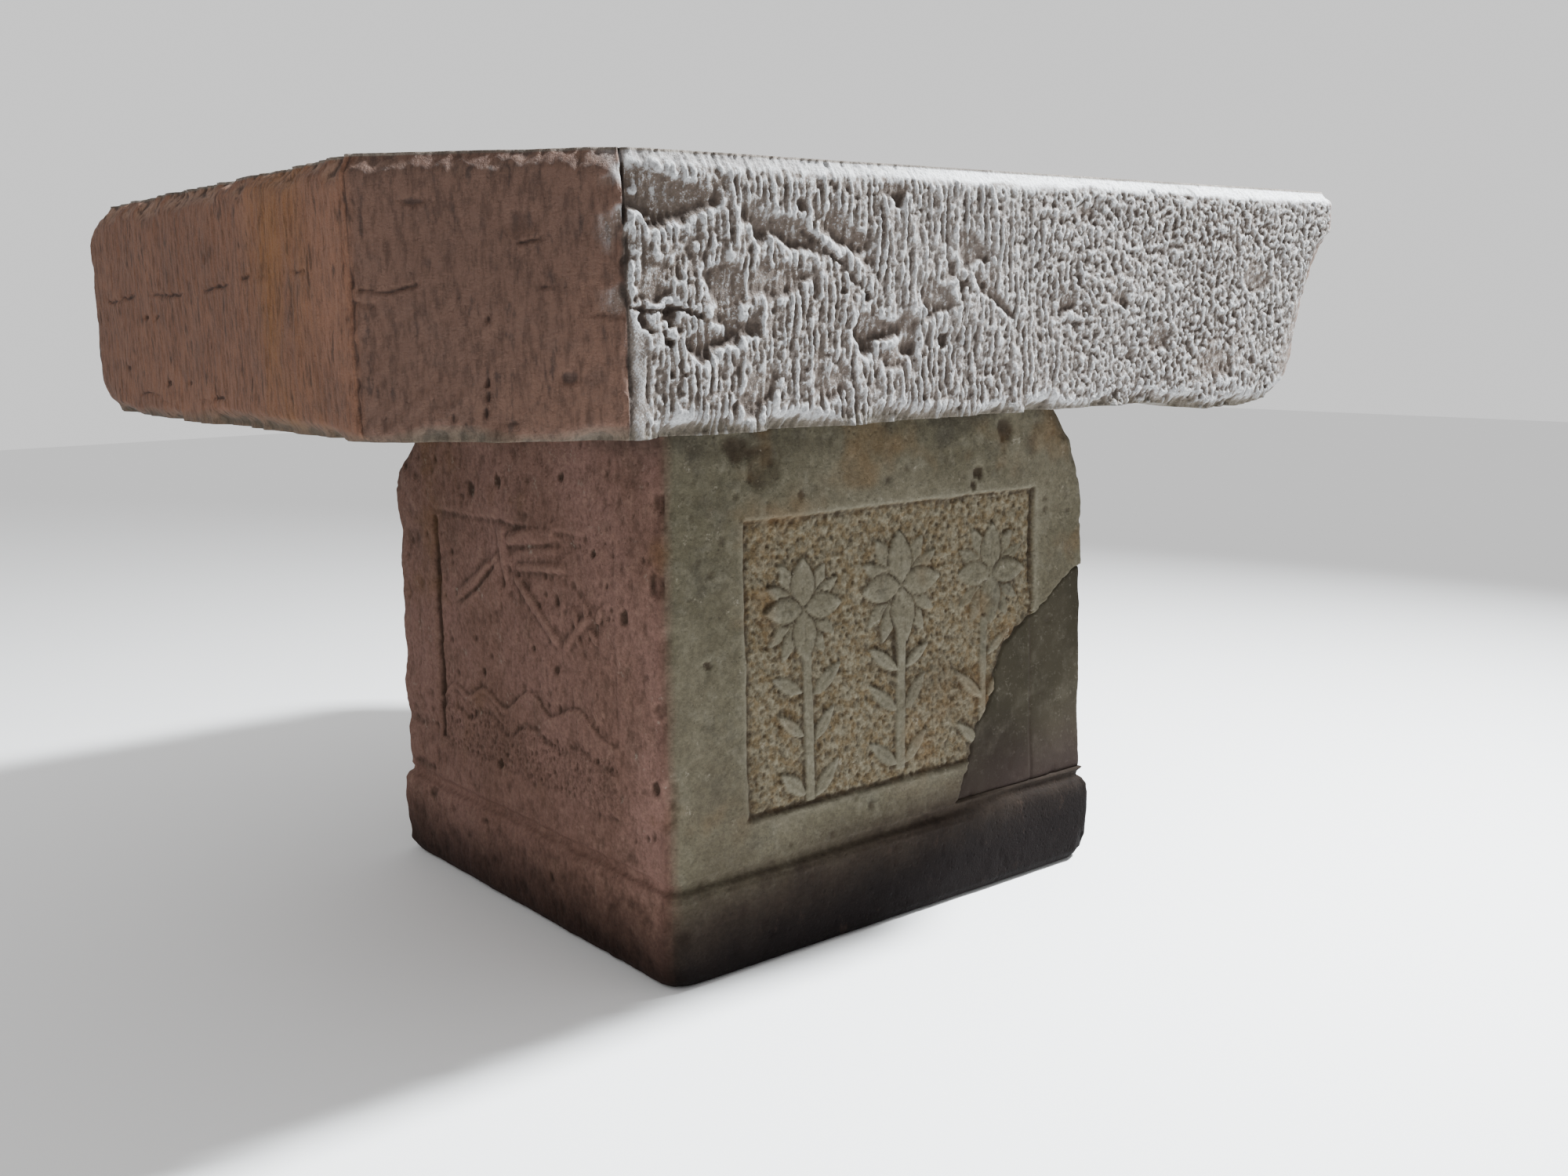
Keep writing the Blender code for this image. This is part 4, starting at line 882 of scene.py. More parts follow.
# the point chisel: long broken furrows on the left, turning to separate pecks on the right
wander = 0.0040 * noise(fu, fz, 0 * fu, 0.060, 201) + 0.0012 * noise(fu, fz, 0 * fu, 0.015, 202)
furrow = np.abs(np.sin((fu + wander) * math.pi / 0.0084)) ** 0.7
broken = noise((fu + wander) / 0.0033, fz / 0.027, 0 * fu, 1.0, 203)
broken = np.sign(broken) * np.abs(broken) ** 0.7
streaks = noise(fu / 0.0027, fz / 0.012, 0 * fu, 1.0, 204)
crumbs = rough(fu, fz, 0 * fu, 0.0042, 205, 2)
ridges = 0.0015 * (1 - furrow) + 0.0016 * broken + 0.0011 * streaks + 0.0013 * crumbs
pecks = (0.0023 * crumbs + 0.0011 * streaks + 0.0006 * noise(fu, fz, 0 * fu, 0.010, 207)
         - 0.0014 * picks(fu, fz, 0.0062, 209, 1.2))
turn_over = smooth(-0.12, 0.14, fu + 0.09 * noise(fu, fz, 0 * fu, 0.09, 211))
tooled = ridges * (1 - turn_over) + pecks * turn_over
ragged = 0.0045 * rough(fu, fz, 0 * fu, 0.030, 212, 3)
margin = np.maximum(smooth(0.881, 0.889, fz + ragged) * (1 - 0.75 * smooth(-0.10, -0.30, fu)),
                    smooth(-0.514, -0.522, fu + 0.002 * noise(fu, fz, 0 * fu, 0.02, 213))
                    * smooth(0.764, 0.756, fz))
facet = smooth(-0.004, 0.022, fu - 0.402 - 0.42 * (fz - 0.650) + 1.5 * ragged) * smooth(0.775, 0.735, fz)
margin = np.maximum(margin, 0.75 * facet)
strokes = 0.00035 * np.sin((fu * 0.75 + fz * 0.66) * 2 * math.pi / 0.0042)
relief = tooled * (1 - margin) + (0.0006 + strokes) * margin * smooth(-0.50, -0.515, fu) + 0.0004 * margin
swell = 0.0024 * rough(fu, fz, 0 * fu, 0.085, 216, 2)
flaked = 0.9 * facet
front_flakes = (
    # centre, half sizes, depth, tilt in degrees
    ((-0.238, 0.742), (0.036, 0.017), 0.0135, -4), ((-0.443, 0.738), (0.030, 0.012), 0.0105, 4),
    ((-0.352, 0.832), (0.046, 0.016), 0.0100, -18), ((-0.272, 0.828), (0.034, 0.015), 0.0090, -25),
    ((-0.392, 0.690), (0.024, 0.015), 0.0060, 20), ((-0.365, 0.788), (0.030, 0.018), 0.0060, 10),
    ((-0.488, 0.865), (0.050, 0.022), 0.0120, -15), ((-0.420, 0.780), (0.030, 0.026), 0.0070, -40),
    ((-0.215, 0.878), (0.018, 0.012), 0.0070, 0), ((-0.160, 0.770), (0.024, 0.018), 0.0070, -30),
    ((-0.080, 0.772), (0.050, 0.008), 0.0055, -38), ((-0.120, 0.820), (0.020, 0.024), 0.0050, 0),
    ((0.035, 0.763), (0.015, 0.012), 0.0055, 0), ((0.118, 0.772), (0.018, 0.012), 0.0055, 10),
    ((0.236, 0.889), (0.016, 0.007), 0.0060, 0), ((0.062, 0.862), (0.018, 0.007), 0.0050, 0),
    ((-0.510, 0.790), (0.018, 0.030), 0.0080, 0), ((-0.300, 0.690), (0.020, 0.020), 0.0045, 10),
    ((-0.215, 0.715), (0.028, 0.016), 0.0050, 15), ((0.300, 0.700), (0.030, 0.018), 0.0045, 0),
    ((0.380, 0.790), (0.026, 0.022), 0.0050, -20), ((0.190, 0.720), (0.022, 0.016), 0.0045, 12),
)
for at, size, deep, tilt in front_flakes:
    dip, bowl = flake(fu, fz, at, size, deep, tilt, 230 + int(at[0] * 500) % 90)
    relief = relief * (1 - 0.55 * bowl) - dip
    flaked = np.maximum(flaked, bowl)
wobble = 0.0040 * noise(fu, fz, 0 * fu, 0.014, 217)
scar = path_distance(fu + wobble, fz, [(-0.335, 0.832), (-0.300, 0.812), (-0.262, 0.778), (-0.246, 0.756)])
relief -= 0.0036 * smooth(0.0046, 0.001, scar) * (0.7 + 0.5 * noise(fu, fz, 0 * fu, 0.010, 219))
crack = path_distance(fu, fz + wobble, [(-0.530, 0.766), (-0.505, 0.760), (-0.480, 0.765), (-0.455, 0.756)])
relief -= 0.0045 * smooth(0.0035, 0.0010, crack)
lip = np.clip(rough(fu, fz, 0 * fu, 0.034, 218, 3) + 0.15, 0, 1) * smooth(0.672, 0.655, fz)
relief -= 0.0080 * lip
lift[front] += relief + swell * (1 - 0.7 * margin) - 0.0020
bare[front] = flaked * 0.8

# the other sides: finer upright strokes, with thin level cracks where the stone's bed shows
other = ~front
ou, oz, ox, oy = w[other], sz[other], sx[other], sy[other]
stroke = (noise(ou / 0.0040, oz / 0.045, 0 * ou, 1.0, 251) * 0.0007
          + noise(ou / 0.002, oz / 0.02, 0 * ou, 1.0, 252) * 0.0004)
coarse_back = np.isin(sside[other], (3, 4, 2, 1, 5))
peck = 0.0014 * rough(ox, oy, oz, 0.012, 254, 2) - 0.0012 * picks(ou + 3.1 * sside[other], oz, 0.013, 256)
cut_marks = np.where(coarse_back, 1.0, 0.25) * peck + stroke
slant = noise((ou * 0.76 + oz * 0.65) / 0.030, (oz * 0.76 - ou * 0.65) / 0.0075, 0 * ou, 1.0, 258)
on_corner = (sside[other] == 7) * smooth(0.80, 0.74, oz) * smooth(0.06, -0.03, ou)
lift[other] += cut_marks + 0.0011 * np.clip(slant, -0.4, 1) * on_corner
lift[other] += 0.0022 * rough(ox, oy, oz, 0.12, 260, 2)
bed_cracks = (
    (6, [(-0.37, 0.790), (-0.30, 0.786), (-0.22, 0.790), (-0.12, 0.792), (-0.04, 0.790),
         (0.03, 0.795), (0.09, 0.797), (0.15, 0.803)]),
    (6, [(-0.26, 0.675), (-0.20, 0.677), (-0.13, 0.669)]),
    (6, [(-0.19, 0.764), (-0.16, 0.762), (-0.14, 0.765)]),
    (6, [(-0.02, 0.676), (0.05, 0.680), (0.11, 0.678)]),
    (6, [(0.17, 0.800), (0.24, 0.803), (0.32, 0.799)]),
    (7, [(-0.115, 0.786), (-0.09, 0.783), (-0.062, 0.790)]),
    (7, [(0.05, 0.784), (0.07, 0.782), (0.10, 0.785)]),
    (7, [(-0.11, 0.668), (-0.05, 0.671), (0.02, 0.668)]),
    (7, [(-0.118, 0.772), (-0.103, 0.768)]),
    (7, [(-0.004, 0.700), (0.000, 0.760), (0.004, 0.830), (0.006, 0.872)]),
    (7, [(0.03, 0.823), (0.048, 0.826)]),
    (7, [(0.070, 0.765), (0.080, 0.758), (0.120, 0.758)]),
    (2, [(-0.30, 0.780), (-0.10, 0.786), (0.15, 0.779)]),
    (4, [(-0.40, 0.700), (-0.20, 0.707), (0.05, 0.701)]),
    (4, [(0.10, 0.81), (0.35, 0.806)]),
)
for face, points in bed_cracks:
    here = sside == face
    hw, hz = w[here], sz[here]
    split = path_distance(hw, hz + 0.0035 * rough(hw, hz, 0 * hw, 0.024, 262, 2), points)
    fading = np.clip(0.35 + noise(hw, hz, 0 * hw, 0.035, 263), 0, 1)
    lift[here] -= 0.0030 * smooth(0.0030, 0.0008, split) * fading
side_pits = (
    # side, place, half sizes, depth
    (7, (-0.005, 0.676), (0.0022, 0.006), 0.006), (7, (-0.004, 0.690), (0.0020, 0.006), 0.006),
    (7, (-0.003, 0.702), (0.0018, 0.004), 0.004), (7, (-0.001, 0.757), (0.0016, 0.005), 0.005),
    (7, (-0.036, 0.672), (0.0028, 0.006), 0.004), (7, (0.070, 0.706), (0.010, 0.007), 0.003),
    (7, (0.030, 0.838), (0.020, 0.012), 0.003), (7, (0.118, 0.812), (0.010, 0.034), 0.006),
    (7, (-0.062, 0.858), (0.012, 0.004), 0.003), (6, (-0.185, 0.765), (0.008, 0.003), 0.005),
    (6, (-0.125, 0.691), (0.010, 0.004), 0.004), (6, (-0.265, 0.706), (0.010, 0.004), 0.003),
    (6, (0.030, 0.824), (0.004, 0.006), 0.003), (6, (-0.055, 0.693), (0.006, 0.003), 0.003),
)
for face, at, size, deep in side_pits:
    here = sside == face
    far = np.hypot((w[here] - at[0]) / size[0], (sz[here] - at[1]) / size[1])
    lift[here] -= deep * smooth(1.25, 0.35, far)

# the top edge: chipped into a ragged strip on the left, and only softened on the front. The foot and
# the upright arrises are worn, and the near left arris has lost small chips
chips = np.clip(rough(sx, sy, sz, 0.026, 270, 3) + 0.30, 0, 1)
strip = smooth(0.874, 0.888, sz + 0.005 * noise(sx, sy, 0 * sz, 0.05, 272))
weak = np.select([sside == 6, sside == 7, sside == 0], [1.0, 0.45, 0.25], 0.7)
lift -= 0.0085 * strip * chips * weak
bare = np.clip(bare + strip * weak * 0.85 * smooth(0.05, 0.4, chips), 0, 1)
soft_edge = smooth(slab_high.z - 0.020, slab_high.z, sz)
lift -= 0.0105 * soft_edge ** 1.3
foot = smooth(0.668, slab_low.z, sz + 0.0060 * noise(sx, sy, 0 * sz, 0.05, 274))
lift -= 0.0125 * foot ** 1.4 * (0.8 + 0.9 * rough(sx, sy, 0 * sz, 0.040, 275, 2))
arris = np.exp(-end / 0.0045)
lift -= 0.0036 * arris + 0.0060 * arris * np.clip(rough(sx, sy, sz, 0.020, 276), 0, 1)
ragged_arris = np.exp(-end / 0.014) * (np.hypot(sx + reach_x - corner_cut, sy + reach_y) < 0.06)
ragged_arris = ragged_arris * smooth(0.745, 0.775, sz)
ragged_arris = ragged_arris * np.clip(0.25 + rough(sx, sy, sz, 0.022, 286, 2), 0, 1)
lift -= 0.0110 * ragged_arris
bare = np.clip(bare + 0.6 * ragged_arris, 0, 1)
for corner, size in ((slab_corners[6], 0.050), (slab_corners[5], 0.030), (slab_corners[3], 0.030)):
    near = np.hypot(sx - corner[0], sy - corner[1])
    worn_end = smooth(size * 1.6, 0.0, near)
    up = smooth(0.855, 0.905, sz) + 0.6 * smooth(0.690, 0.648, sz)
    lift -= 0.022 * worn_end * up * (0.9 + 0.2 * noise(sx, sy, sz, 0.03, 278)) * (size / 0.05)
    bare = np.clip(bare + worn_end * up * 0.7, 0, 1)

qx, qy, qz = sx + nx * lift, sy + ny * lift, sz.copy()
# the lost corner, broken along one rough slanting plane
lost = np.array([(0.648, 0.398), (0.653, 0.410), (0.668, 0.432), (0.700, 0.447), (0.740, 0.453), (0.770, 0.462),
                 (0.800, 0.480), (0.835, 0.502), (0.848, 0.522), (0.853, 0.545), (0.860, 0.80)])
limit = np.interp(qz, lost[:, 0], lost[:, 1])
limit = limit + 0.0085 * rough(sx, sy, qz, 0.045, 281) + 0.0028 * rough(sx, sy, qz, 0.012, 282)
slope = 0.50 / 0.3225
into_x, into_y = -0.542, 0.840  # the way into the stone, square to the break
beyond = np.clip((qx - (qy + reach_y) * slope - limit) / (into_y * slope - into_x), 0, None)
beyond = np.where((sx > 0.3) & (sy < 0.0), beyond, 0.0)
qx, qy = qx + into_x * beyond, qy + into_y * beyond
snapped = smooth(0.0, 0.006, beyond)
bare = np.maximum(bare * (1 - snapped), snapped)
# the underside sags a little at the front's right
sag = smooth(0.18, 0.30, qx) * smooth(0.43, 0.36, qx) * smooth(0.0, -0.4, sy) * smooth(0.72, 0.652, qz)
qz = qz - sag * (0.0115 + 0.003 * noise(qx, qy, 0 * qx, 0.03, 284))
slab_wall = np.stack([qx, qy, qz], -1)

# The level top and underside, and the bowl with its rebate and the hole for the outlet
count, rows = slab_wall.shape[:2]
turn = np.arctan2(slab_y, slab_x)


def circle(radius, height):
    """A level ring of points, one for each column of the slab's sides."""
    return np.stack([radius * np.cos(turn), radius * np.sin(turn), 0 * turn + height], -1)


rim, floor_radius, bowl_floor = 0.285, 0.120, 0.727
rebate, rebate_floor = 0.306, 0.8965
bowl_curve = [(floor_radius + (rim - floor_radius) * math.sin(t * math.pi / 24),
               bowl_floor + (rebate_floor - bowl_floor) * (1 - math.cos(t * math.pi / 24))) for t in range(13)]
outlet_hole = 0.023
rings = [circle(outlet_hole, slab_low.z)]
under = slab_wall[:, 0]
for t in (0.25, 0.5, 0.75, 0.85, 0.92, 0.97):
    ring = circle(outlet_hole, slab_low.z) * (1 - t) + under * t
    ring[:, 2] = slab_low.z + (under[:, 2] - slab_low.z) * float(smooth(0.84, 1.0, np.array(t)))
    rings.append(ring)
wall_start = len(rings)
rings += [slab_wall[:, j] for j in range(rows)]
edge, mouth = slab_wall[:, -1], circle(rebate, slab_high.z)
top_steps = [0.012, 0.03] + list(np.linspace(0.05, 1, 58)[:-1])
for t in top_steps:
    ring = edge * (1 - t) + mouth * t
    tx, ty = ring[:, 0], ring[:, 1]
    level = 0.0009 * rough(tx, ty, 0 * turn, 0.09, 290) - 0.0010
    level -= 0.0016 * picks(tx, ty, 0.016, 292) + 0.0006 * rough(tx, ty, 0 * turn, 0.014, 294)
    ring[:, 2] = slab_high.z + np.minimum(level, 0) * smooth(0.0, 0.06, t) * smooth(1.0, 0.94, t)
    rings.append(ring)
rings += [circle(rebate, slab_high.z - 0.0006), circle(rebate - 0.0002, rebate_floor),
          circle(rim + 0.001, rebate_floor)]
rings += [circle(r, h) for r, h in bowl_curve[::-1]]
rings += [circle(0.070, bowl_floor), circle(outlet_hole, bowl_floor)]
slab_shades = np.zeros((len(rings), count, 4))
# red brown by side: partly weathering, partly painted warm light on the sides away from the front
left_brown = np.select([sside == 0, sside < 4, sside == 4, sside == 5, sside == 6],
                       [0.08, 0.40, 0.75, 0.9, 1.0], np.clip(1.15 - 1.9 * ragged_arris, 0.05, 1))
sunken = np.clip(relief_of(lift, 4) / 0.0022, -1, 1)
foot_tone = np.where(foot > 0.25, foot, 0.0)
slab_shades[:, :, 2] = 0.5
slab_shades[:wall_start, :, 3] = 1.0
wall_masks = np.stack([left_brown, bare, 0.5 + 0.5 * sunken, foot_tone], -1)
slab_shades[wall_start:wall_start + rows] = wall_masks.transpose(1, 0, 2)
slab = mesh_piece("slab_stone", np.concatenate(rings), ring_quads(len(rings), count, close=True),
                  slab_shades.reshape(-1, 4))
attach(slab, "font")
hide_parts("basin_slab")


def slab_finish():
    """Hard pale stone on the tooled front, with painted highlights on its raised grain and top margin and
    painted shade in its hollows, going red brown with dirt on the sides away from it, the red brown partly
    painted warm light.
    """
    s = Shader("slab_stone_finish", roughness=0.82, shine=0.25)
    brown, bare, sunken, under = s.masks()
    x, y, z = s.axes()
    cloud, patchy, grain = s.noise(5.0, 5.0), s.noise(26.0, 6.0, 0.65), s.noise(460.0, 3.0, 0.7)
    pores = s.cells(120.0, random=0.9)
    left_end = s.between(x, -0.10, -0.50)
    pale = s.mix(s.between(cloud, 0.35, 0.65), (0.150, 0.128, 0.112), (0.215, 0.196, 0.180))
    pale = s.mix(s.times(left_end, 0.60), pale, (0.112, 0.085, 0.066))
    pale = s.mix(s.between(patchy, 0.50, 0.72, 0.0, 0.6), pale, (0.120, 0.095, 0.078))
    pale = s.mix(s.times(bare, 0.80), pale, (0.088, 0.064, 0.048))
    flecks = s.noise(230.0, 4.0, 0.75)
    # painted highlight and shade: the raised grain of the tooled front goes bluish white and its hollows go
    # dark brown
    broken_up = s.wavering(sunken, flecks, 1.1)
    pale = s.mix(s.between(broken_up, 0.47, 0.20, 0.0, 0.85), pale, (0.500, 0.510, 0.520))
    pale = s.mix(s.between(broken_up, 0.56, 0.90, 0.0, 0.85), pale, (0.050, 0.037, 0.030))
    # painted highlight: a near white line along the front's top margin
    crown_highlight = s.between(s.wavering(z, patchy, 0.016), 0.883, 0.889)
    crown_highlight = s.times(crown_highlight, s.between(z, 0.8995, 0.8975))
    crown_highlight = s.times(crown_highlight, s.between(x, -0.42, -0.05, 0.25, 1.0))
    crown_highlight = s.times(crown_highlight, s.between(y, -0.40, -0.53, 0.12, 1.0))
    pale = s.mix(s.times(crown_highlight, 0.92), pale, (0.880, 0.900, 0.920))
    # painted glints: bluish white flecks on the raised grain
    white_glints = s.times(s.between(flecks, 0.54, 0.64), s.between(sunken, 0.75, 0.45))
    pale = s.mix(s.times(white_glints, 0.55), pale, (0.500, 0.510, 0.520))
    warm = s.mix(s.between(cloud, 0.35, 0.65), (0.145, 0.068, 0.041), (0.190, 0.090, 0.054))
    warm = s.mix(s.between(patchy, 0.50, 0.75, 0.0, 0.5), warm, (0.096, 0.052, 0.036))
    warm = s.mix(s.times(bare, 0.65), warm, (0.260, 0.165, 0.118))
    strokes = s.between(s.noise(85.0, 3.0, 0.65, stretch=(1.0, 1.0, 0.28)), 0.41, 0.31)
    warm = s.mix(s.times(strokes, 0.55), warm, (0.034, 0.019, 0.014))
    # painted shade in the hollows of the red brown sides
    warm = s.mix(s.between(sunken, 0.60, 1.0, 0.0, 0.75), warm, (0.032, 0.018, 0.014))
    stain = s.times(s.between(s.math("ABSOLUTE", s.math("ADD", y, 0.225)), 0.110, 0.015),
                   s.between(x, -0.66, -0.70))
    stain = s.times(stain, s.between(s.noise(11.0, 4.0, stretch=(1.0, 1.0, 0.35)), 0.36, 0.62))
    warm = s.mix(s.times(stain, 0.80), warm, (0.185, 0.080, 0.026))
    # painted shade: the cut corner at the front's left is dulled and darkened
    shaded_warm = s.mix(0.55, warm, (0.074, 0.050, 0.042))
    corner_face = s.times(s.between(x, -0.20, -0.40), s.between(y, -0.383, -0.395))
    warm = s.mix(corner_face, warm, shaded_warm)
    # the red brown sides: partly weathering, partly painted warm light
    colour = s.mix(brown, pale, warm)
    colour = s.mix(s.times(under, 0.65), colour, (0.105, 0.090, 0.064))
    upper = s.between(z, 0.8965, 0.8985)
    dirt, lichen = s.noise(7.0, 6.0, 0.7), s.noise(38.0, 5.0, 0.7)
    weathered = s.mix(s.between(dirt, 0.40, 0.62), (0.210, 0.180, 0.150), (0.098, 0.078, 0.062))
    weathered = s.mix(s.between(lichen, 0.56, 0.68, 0.0, 0.6), weathered, (0.300, 0.285, 0.262))
    colour = s.mix(s.times(upper, 0.85), colour, weathered)
    dots = s.times(s.between(s.cells(150.0), 0.17, 0.05), s.between(s.noise(50.0, 2.0), 0.52, 0.62))
    colour = s.mix(s.times(dots, 0.6), colour, (0.090, 0.062, 0.050))
    chiselled = s.mix(brown, flecks, s.noise(170.0, 5.0, 0.70, stretch=(1.0, 1.0, 0.28)))
    shade = s.mix(s.between(chiselled, 0.34, 0.60), (0.30, 0.28, 0.27), (1.0, 1.0, 1.0))
    colour = s.mix(0.60, colour, shade, "MULTIPLY")
    colour = s.mix(0.35, colour, s.mix(grain, (0.55, 0.55, 0.55), (1.0, 1.0, 1.0)), "MULTIPLY")
    streak = s.noise(230.0, 4.0, 0.65, stretch=(1.0, 1.0, 0.22))
    normal = s.bump(grain, 0.35, 0.0012)
    normal = s.bump(s.between(pores, 0.30, 0.02), 0.35, -0.0022, normal)
    normal = s.bump(streak, 0.6, 0.0020, normal)
    normal = s.bump(flecks, 0.8, 0.0030, normal)
    return s.finish(colour, normal, s.between(grain, 0.2, 0.9, 0.72, 0.92))


slab.data.materials.append(slab_finish())


# The lining: sheet lead dressed down into the bowl with a mallet and turned out into the rebate
# round its rim. Three burned seams join its sheets, and hard water has left a tide line on it.
gap, sheet, around = 0.0003, 0.003, 288
theta = np.arange(around) * 2 * math.pi / around
hole_edge = outlet_hole + 0.002
lead_floor, lead_rim = bowl_floor + 1.2 * gap + sheet, rebate_floor + gap + sheet
low_side, high_side = [(hole_edge, bowl_floor + 0.00036)], []
for k in range(41):
    t = k * math.pi / 80
    r = floor_radius + (rim - floor_radius) * math.sin(t)
    h = bowl_floor + (rebate_floor - bowl_floor) * (1 - math.cos(t))
    low_side.append((r - 1.6 * gap, h + 1.2 * gap))
    high_side.append((r - sheet * math.sin(t), h + sheet * math.cos(t), -math.sin(t), math.cos(t)))
low_side[-1] = (low_side[-1][0], rebate_floor + gap)
edge_in, edge_out = rim - sheet, rebate - 2 * gap
low_side += [(edge_out, rebate_floor + gap), (edge_out, lead_rim - 0.0008)]
# the seen side, from the rim to the outlet: radius, height, and how far a blow moves it out and up
turned_out = [(edge_out - 0.0006, lead_rim, 0.0, 0.0)]
turned_out += [(edge_in + (edge_out - 0.0008 - edge_in) * t, lead_rim - 0.0004 * (1 - t), 0.0, 0.25)
               for t in (0.95, 0.7, 0.45, 0.2)]
bottom = [(r, lead_floor, 0.0, 1.0) for r in (0.105, 0.090, 0.075, 0.060, 0.045, 0.041)]
bottom += [(0.0385, lead_floor, 0.0, 0.0), (hole_edge, lead_floor, 0.0, 0.0)]
rings, lining_shades = [], []
for r, h in low_side:
    rings.append(np.stack([r * np.cos(theta), r * np.sin(theta), 0 * theta + h], -1))
    lining_shades.append(np.zeros((around, 4)))
for r, h, out_r, out_h in turned_out + high_side[::-1] + bottom:
    cx, cy, cz = r * np.cos(theta), r * np.sin(theta), 0 * theta + h
    blows = 0.0010 * picks(theta * 0.2, cz + 0.4 * r, 0.017, 303)
    blows += 0.0006 * (1 + rough(cx, cy, cz, 0.04, 305))
    pleats = np.clip(noise(theta * 5.5, 0 * theta, cz / 0.09, 1.0, 307), 0, 1) ** 1.5
    press = 0.0030 * pleats * float(smooth(0.80, 0.885, np.array(h)))
    seam = 0 * theta
    for at in (0.42, 2.51, 4.61):
        away = np.abs((theta - at + math.pi) % (2 * math.pi) - math.pi) * r
        seam = np.maximum(seam, smooth(0.0075, 0.0035, away) * (0.8 + 0.2 * noise(cx, cy, cz, 0.006, 309)))
    dressed = (blows + press * (out_r != 0)) * (1 - 0.6 * seam) + 0.0011 * seam
    if out_h == 0.25:
        dressed = dressed * 0.35
    rings.append(np.stack([cx + out_r * dressed * np.cos(theta), cy + out_r * dressed * np.sin(theta),
                           np.minimum(cz + out_h * dressed, slab_high.z)], -1))
    lining_shades.append(np.stack([seam, 0 * theta, 0 * theta, 0 * theta + 1], -1))
lining = mesh_piece("lead_lining", np.concatenate(rings), ring_quads(len(rings), around, close=True),
                    np.concatenate(lining_shades))
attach(lining, "font")
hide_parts("bowl_lining")


def lead_finish():
    """Dull grey lead, darker where it stays wet, with a chalky tide line and pale runs."""
    s = Shader("sheet_lead_finish", metallic=0.75, roughness=0.5)
    seam, z = s.masks()[0], s.axes()[2]
    cloud, fine_cloud = s.noise(9.0, 5.0, 0.6), s.noise(60.0, 5.0, 0.65)
    colour = s.mix(s.between(cloud, 0.35, 0.65), (0.150, 0.158, 0.170), (0.235, 0.245, 0.258))
    colour = s.mix(s.between(fine_cloud, 0.55, 0.70, 0.0, 0.5), colour, (0.110, 0.114, 0.118))
    level = s.wavering(z, s.noise(20.0, 4.0), 0.012)
    wet = s.between(level, 0.842, 0.836)
    colour = s.mix(s.times(wet, 0.45), colour, (0.085, 0.092, 0.086))
    tide = s.times(s.between(level, 0.833, 0.838), s.between(level, 0.849, 0.842))
    colour = s.mix(s.times(tide, 0.75), colour, (0.500, 0.495, 0.465))
    runs = s.noise(55.0, 3.0, 0.6, stretch=(1.0, 1.0, 0.10))
    runs = s.times(s.between(runs, 0.62, 0.70), s.between(z, 0.735, 0.800))
    colour = s.mix(s.times(runs, 0.35), colour, (0.420, 0.420, 0.400))
    silt = s.between(s.math("ADD", z, s.times(fine_cloud, 0.006)), 0.737, 0.732)
    colour = s.mix(s.times(silt, 0.55), colour, (0.090, 0.078, 0.058))
    colour = s.mix(s.times(seam, 0.6), colour, (0.330, 0.340, 0.350))
    scratches = s.noise(260.0, 3.0, 0.7, stretch=(0.15, 1.0, 1.0))
    normal = s.bump(fine_cloud, 0.25, 0.0010)
    normal = s.bump(scratches, 0.15, 0.0004, normal)
    return s.finish(colour, normal, s.between(cloud, 0.3, 0.7, 0.42, 0.68))


lining.data.materials.append(lead_finish())

# The drain: a turned brass outlet whose flange clamps the lining. A rubber washer and a backnut
# hold it from below, and a union nut joins it to the copper pipe that runs to the ground.


def turned(name, profile, around=96):
    """A lathe-turned piece. The profile runs anticlockwise in (radius, height), or from axis to axis."""
    theta = np.arange(around) * 2 * math.pi / around
    solid_core = profile[0][0] == 0
    body = profile[1:-1] if solid_core else profile
    points = [np.stack([r * np.cos(theta), r * np.sin(theta), 0 * theta + h], -1) for r, h in body]
    quads, triangles = ring_quads(len(body), around, close=not solid_core), ()
    if solid_core:
        points.append(np.array([(0, 0, profile[0][1]), (0, 0, profile[-1][1])]))
        k, m = np.arange(around), (np.arange(around) + 1) % around
        base, last = len(body) * around, (len(body) - 1) * around
        triangles = np.concatenate([np.stack([m, k, 0 * k + base], 1),
                                    np.stack([last + k, last + m, 0 * k + base + 1], 1)])
    return mesh_piece(name, np.concatenate(points), quads, None, triangles)


floor_top = lead_floor + gap
seat_top, seat_low = floor_top + 0.005, floor_top - 0.016
outlet = turned("outlet_brass", [
    (0.0155, 0.6000), (0.0200, 0.6000), (0.0200, floor_top - 0.0002), (0.0203, floor_top),
    (0.0380, floor_top), (0.0391, floor_top + 0.0003), (0.0398, floor_top + 0.0009),
    (0.0398, floor_top + 0.0015), (0.0392, floor_top + 0.0021), (0.0383, floor_top + 0.0025),
    (0.0345, floor_top + 0.0030), (0.0339, floor_top + 0.0028), (0.0333, floor_top + 0.0031),
    (0.0262, floor_top + 0.0043), (0.0256, floor_top + 0.0041), (0.0250, floor_top + 0.0045),
    (0.0229, seat_top - 0.0001), (0.0205, seat_top), (0.0198, seat_top - 0.0006),
    (0.0190, seat_top - 0.0020), (0.0176, seat_low), (0.0170, seat_low - 0.0008),
    (0.0155, seat_low - 0.0020)])
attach(outlet, "font")
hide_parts("drain_outlet")
worn_brass = metal_finish("worn_brass_finish", (0.50, 0.36, 0.15), (0.27, 0.20, 0.09), (0.10, 0.16, 0.10),
                          1.0, 0.32, 55.0)
outlet.data.materials.append(worn_brass)
repaint("drain_backnut", worn_brass)
repaint("union_nut", worn_brass)
repaint("drain_pipe", metal_finish("copper_finish", (0.42, 0.20, 0.11), (0.20, 0.10, 0.06),
                                   (0.10, 0.20, 0.15), 1.0, 0.42, 30.0))


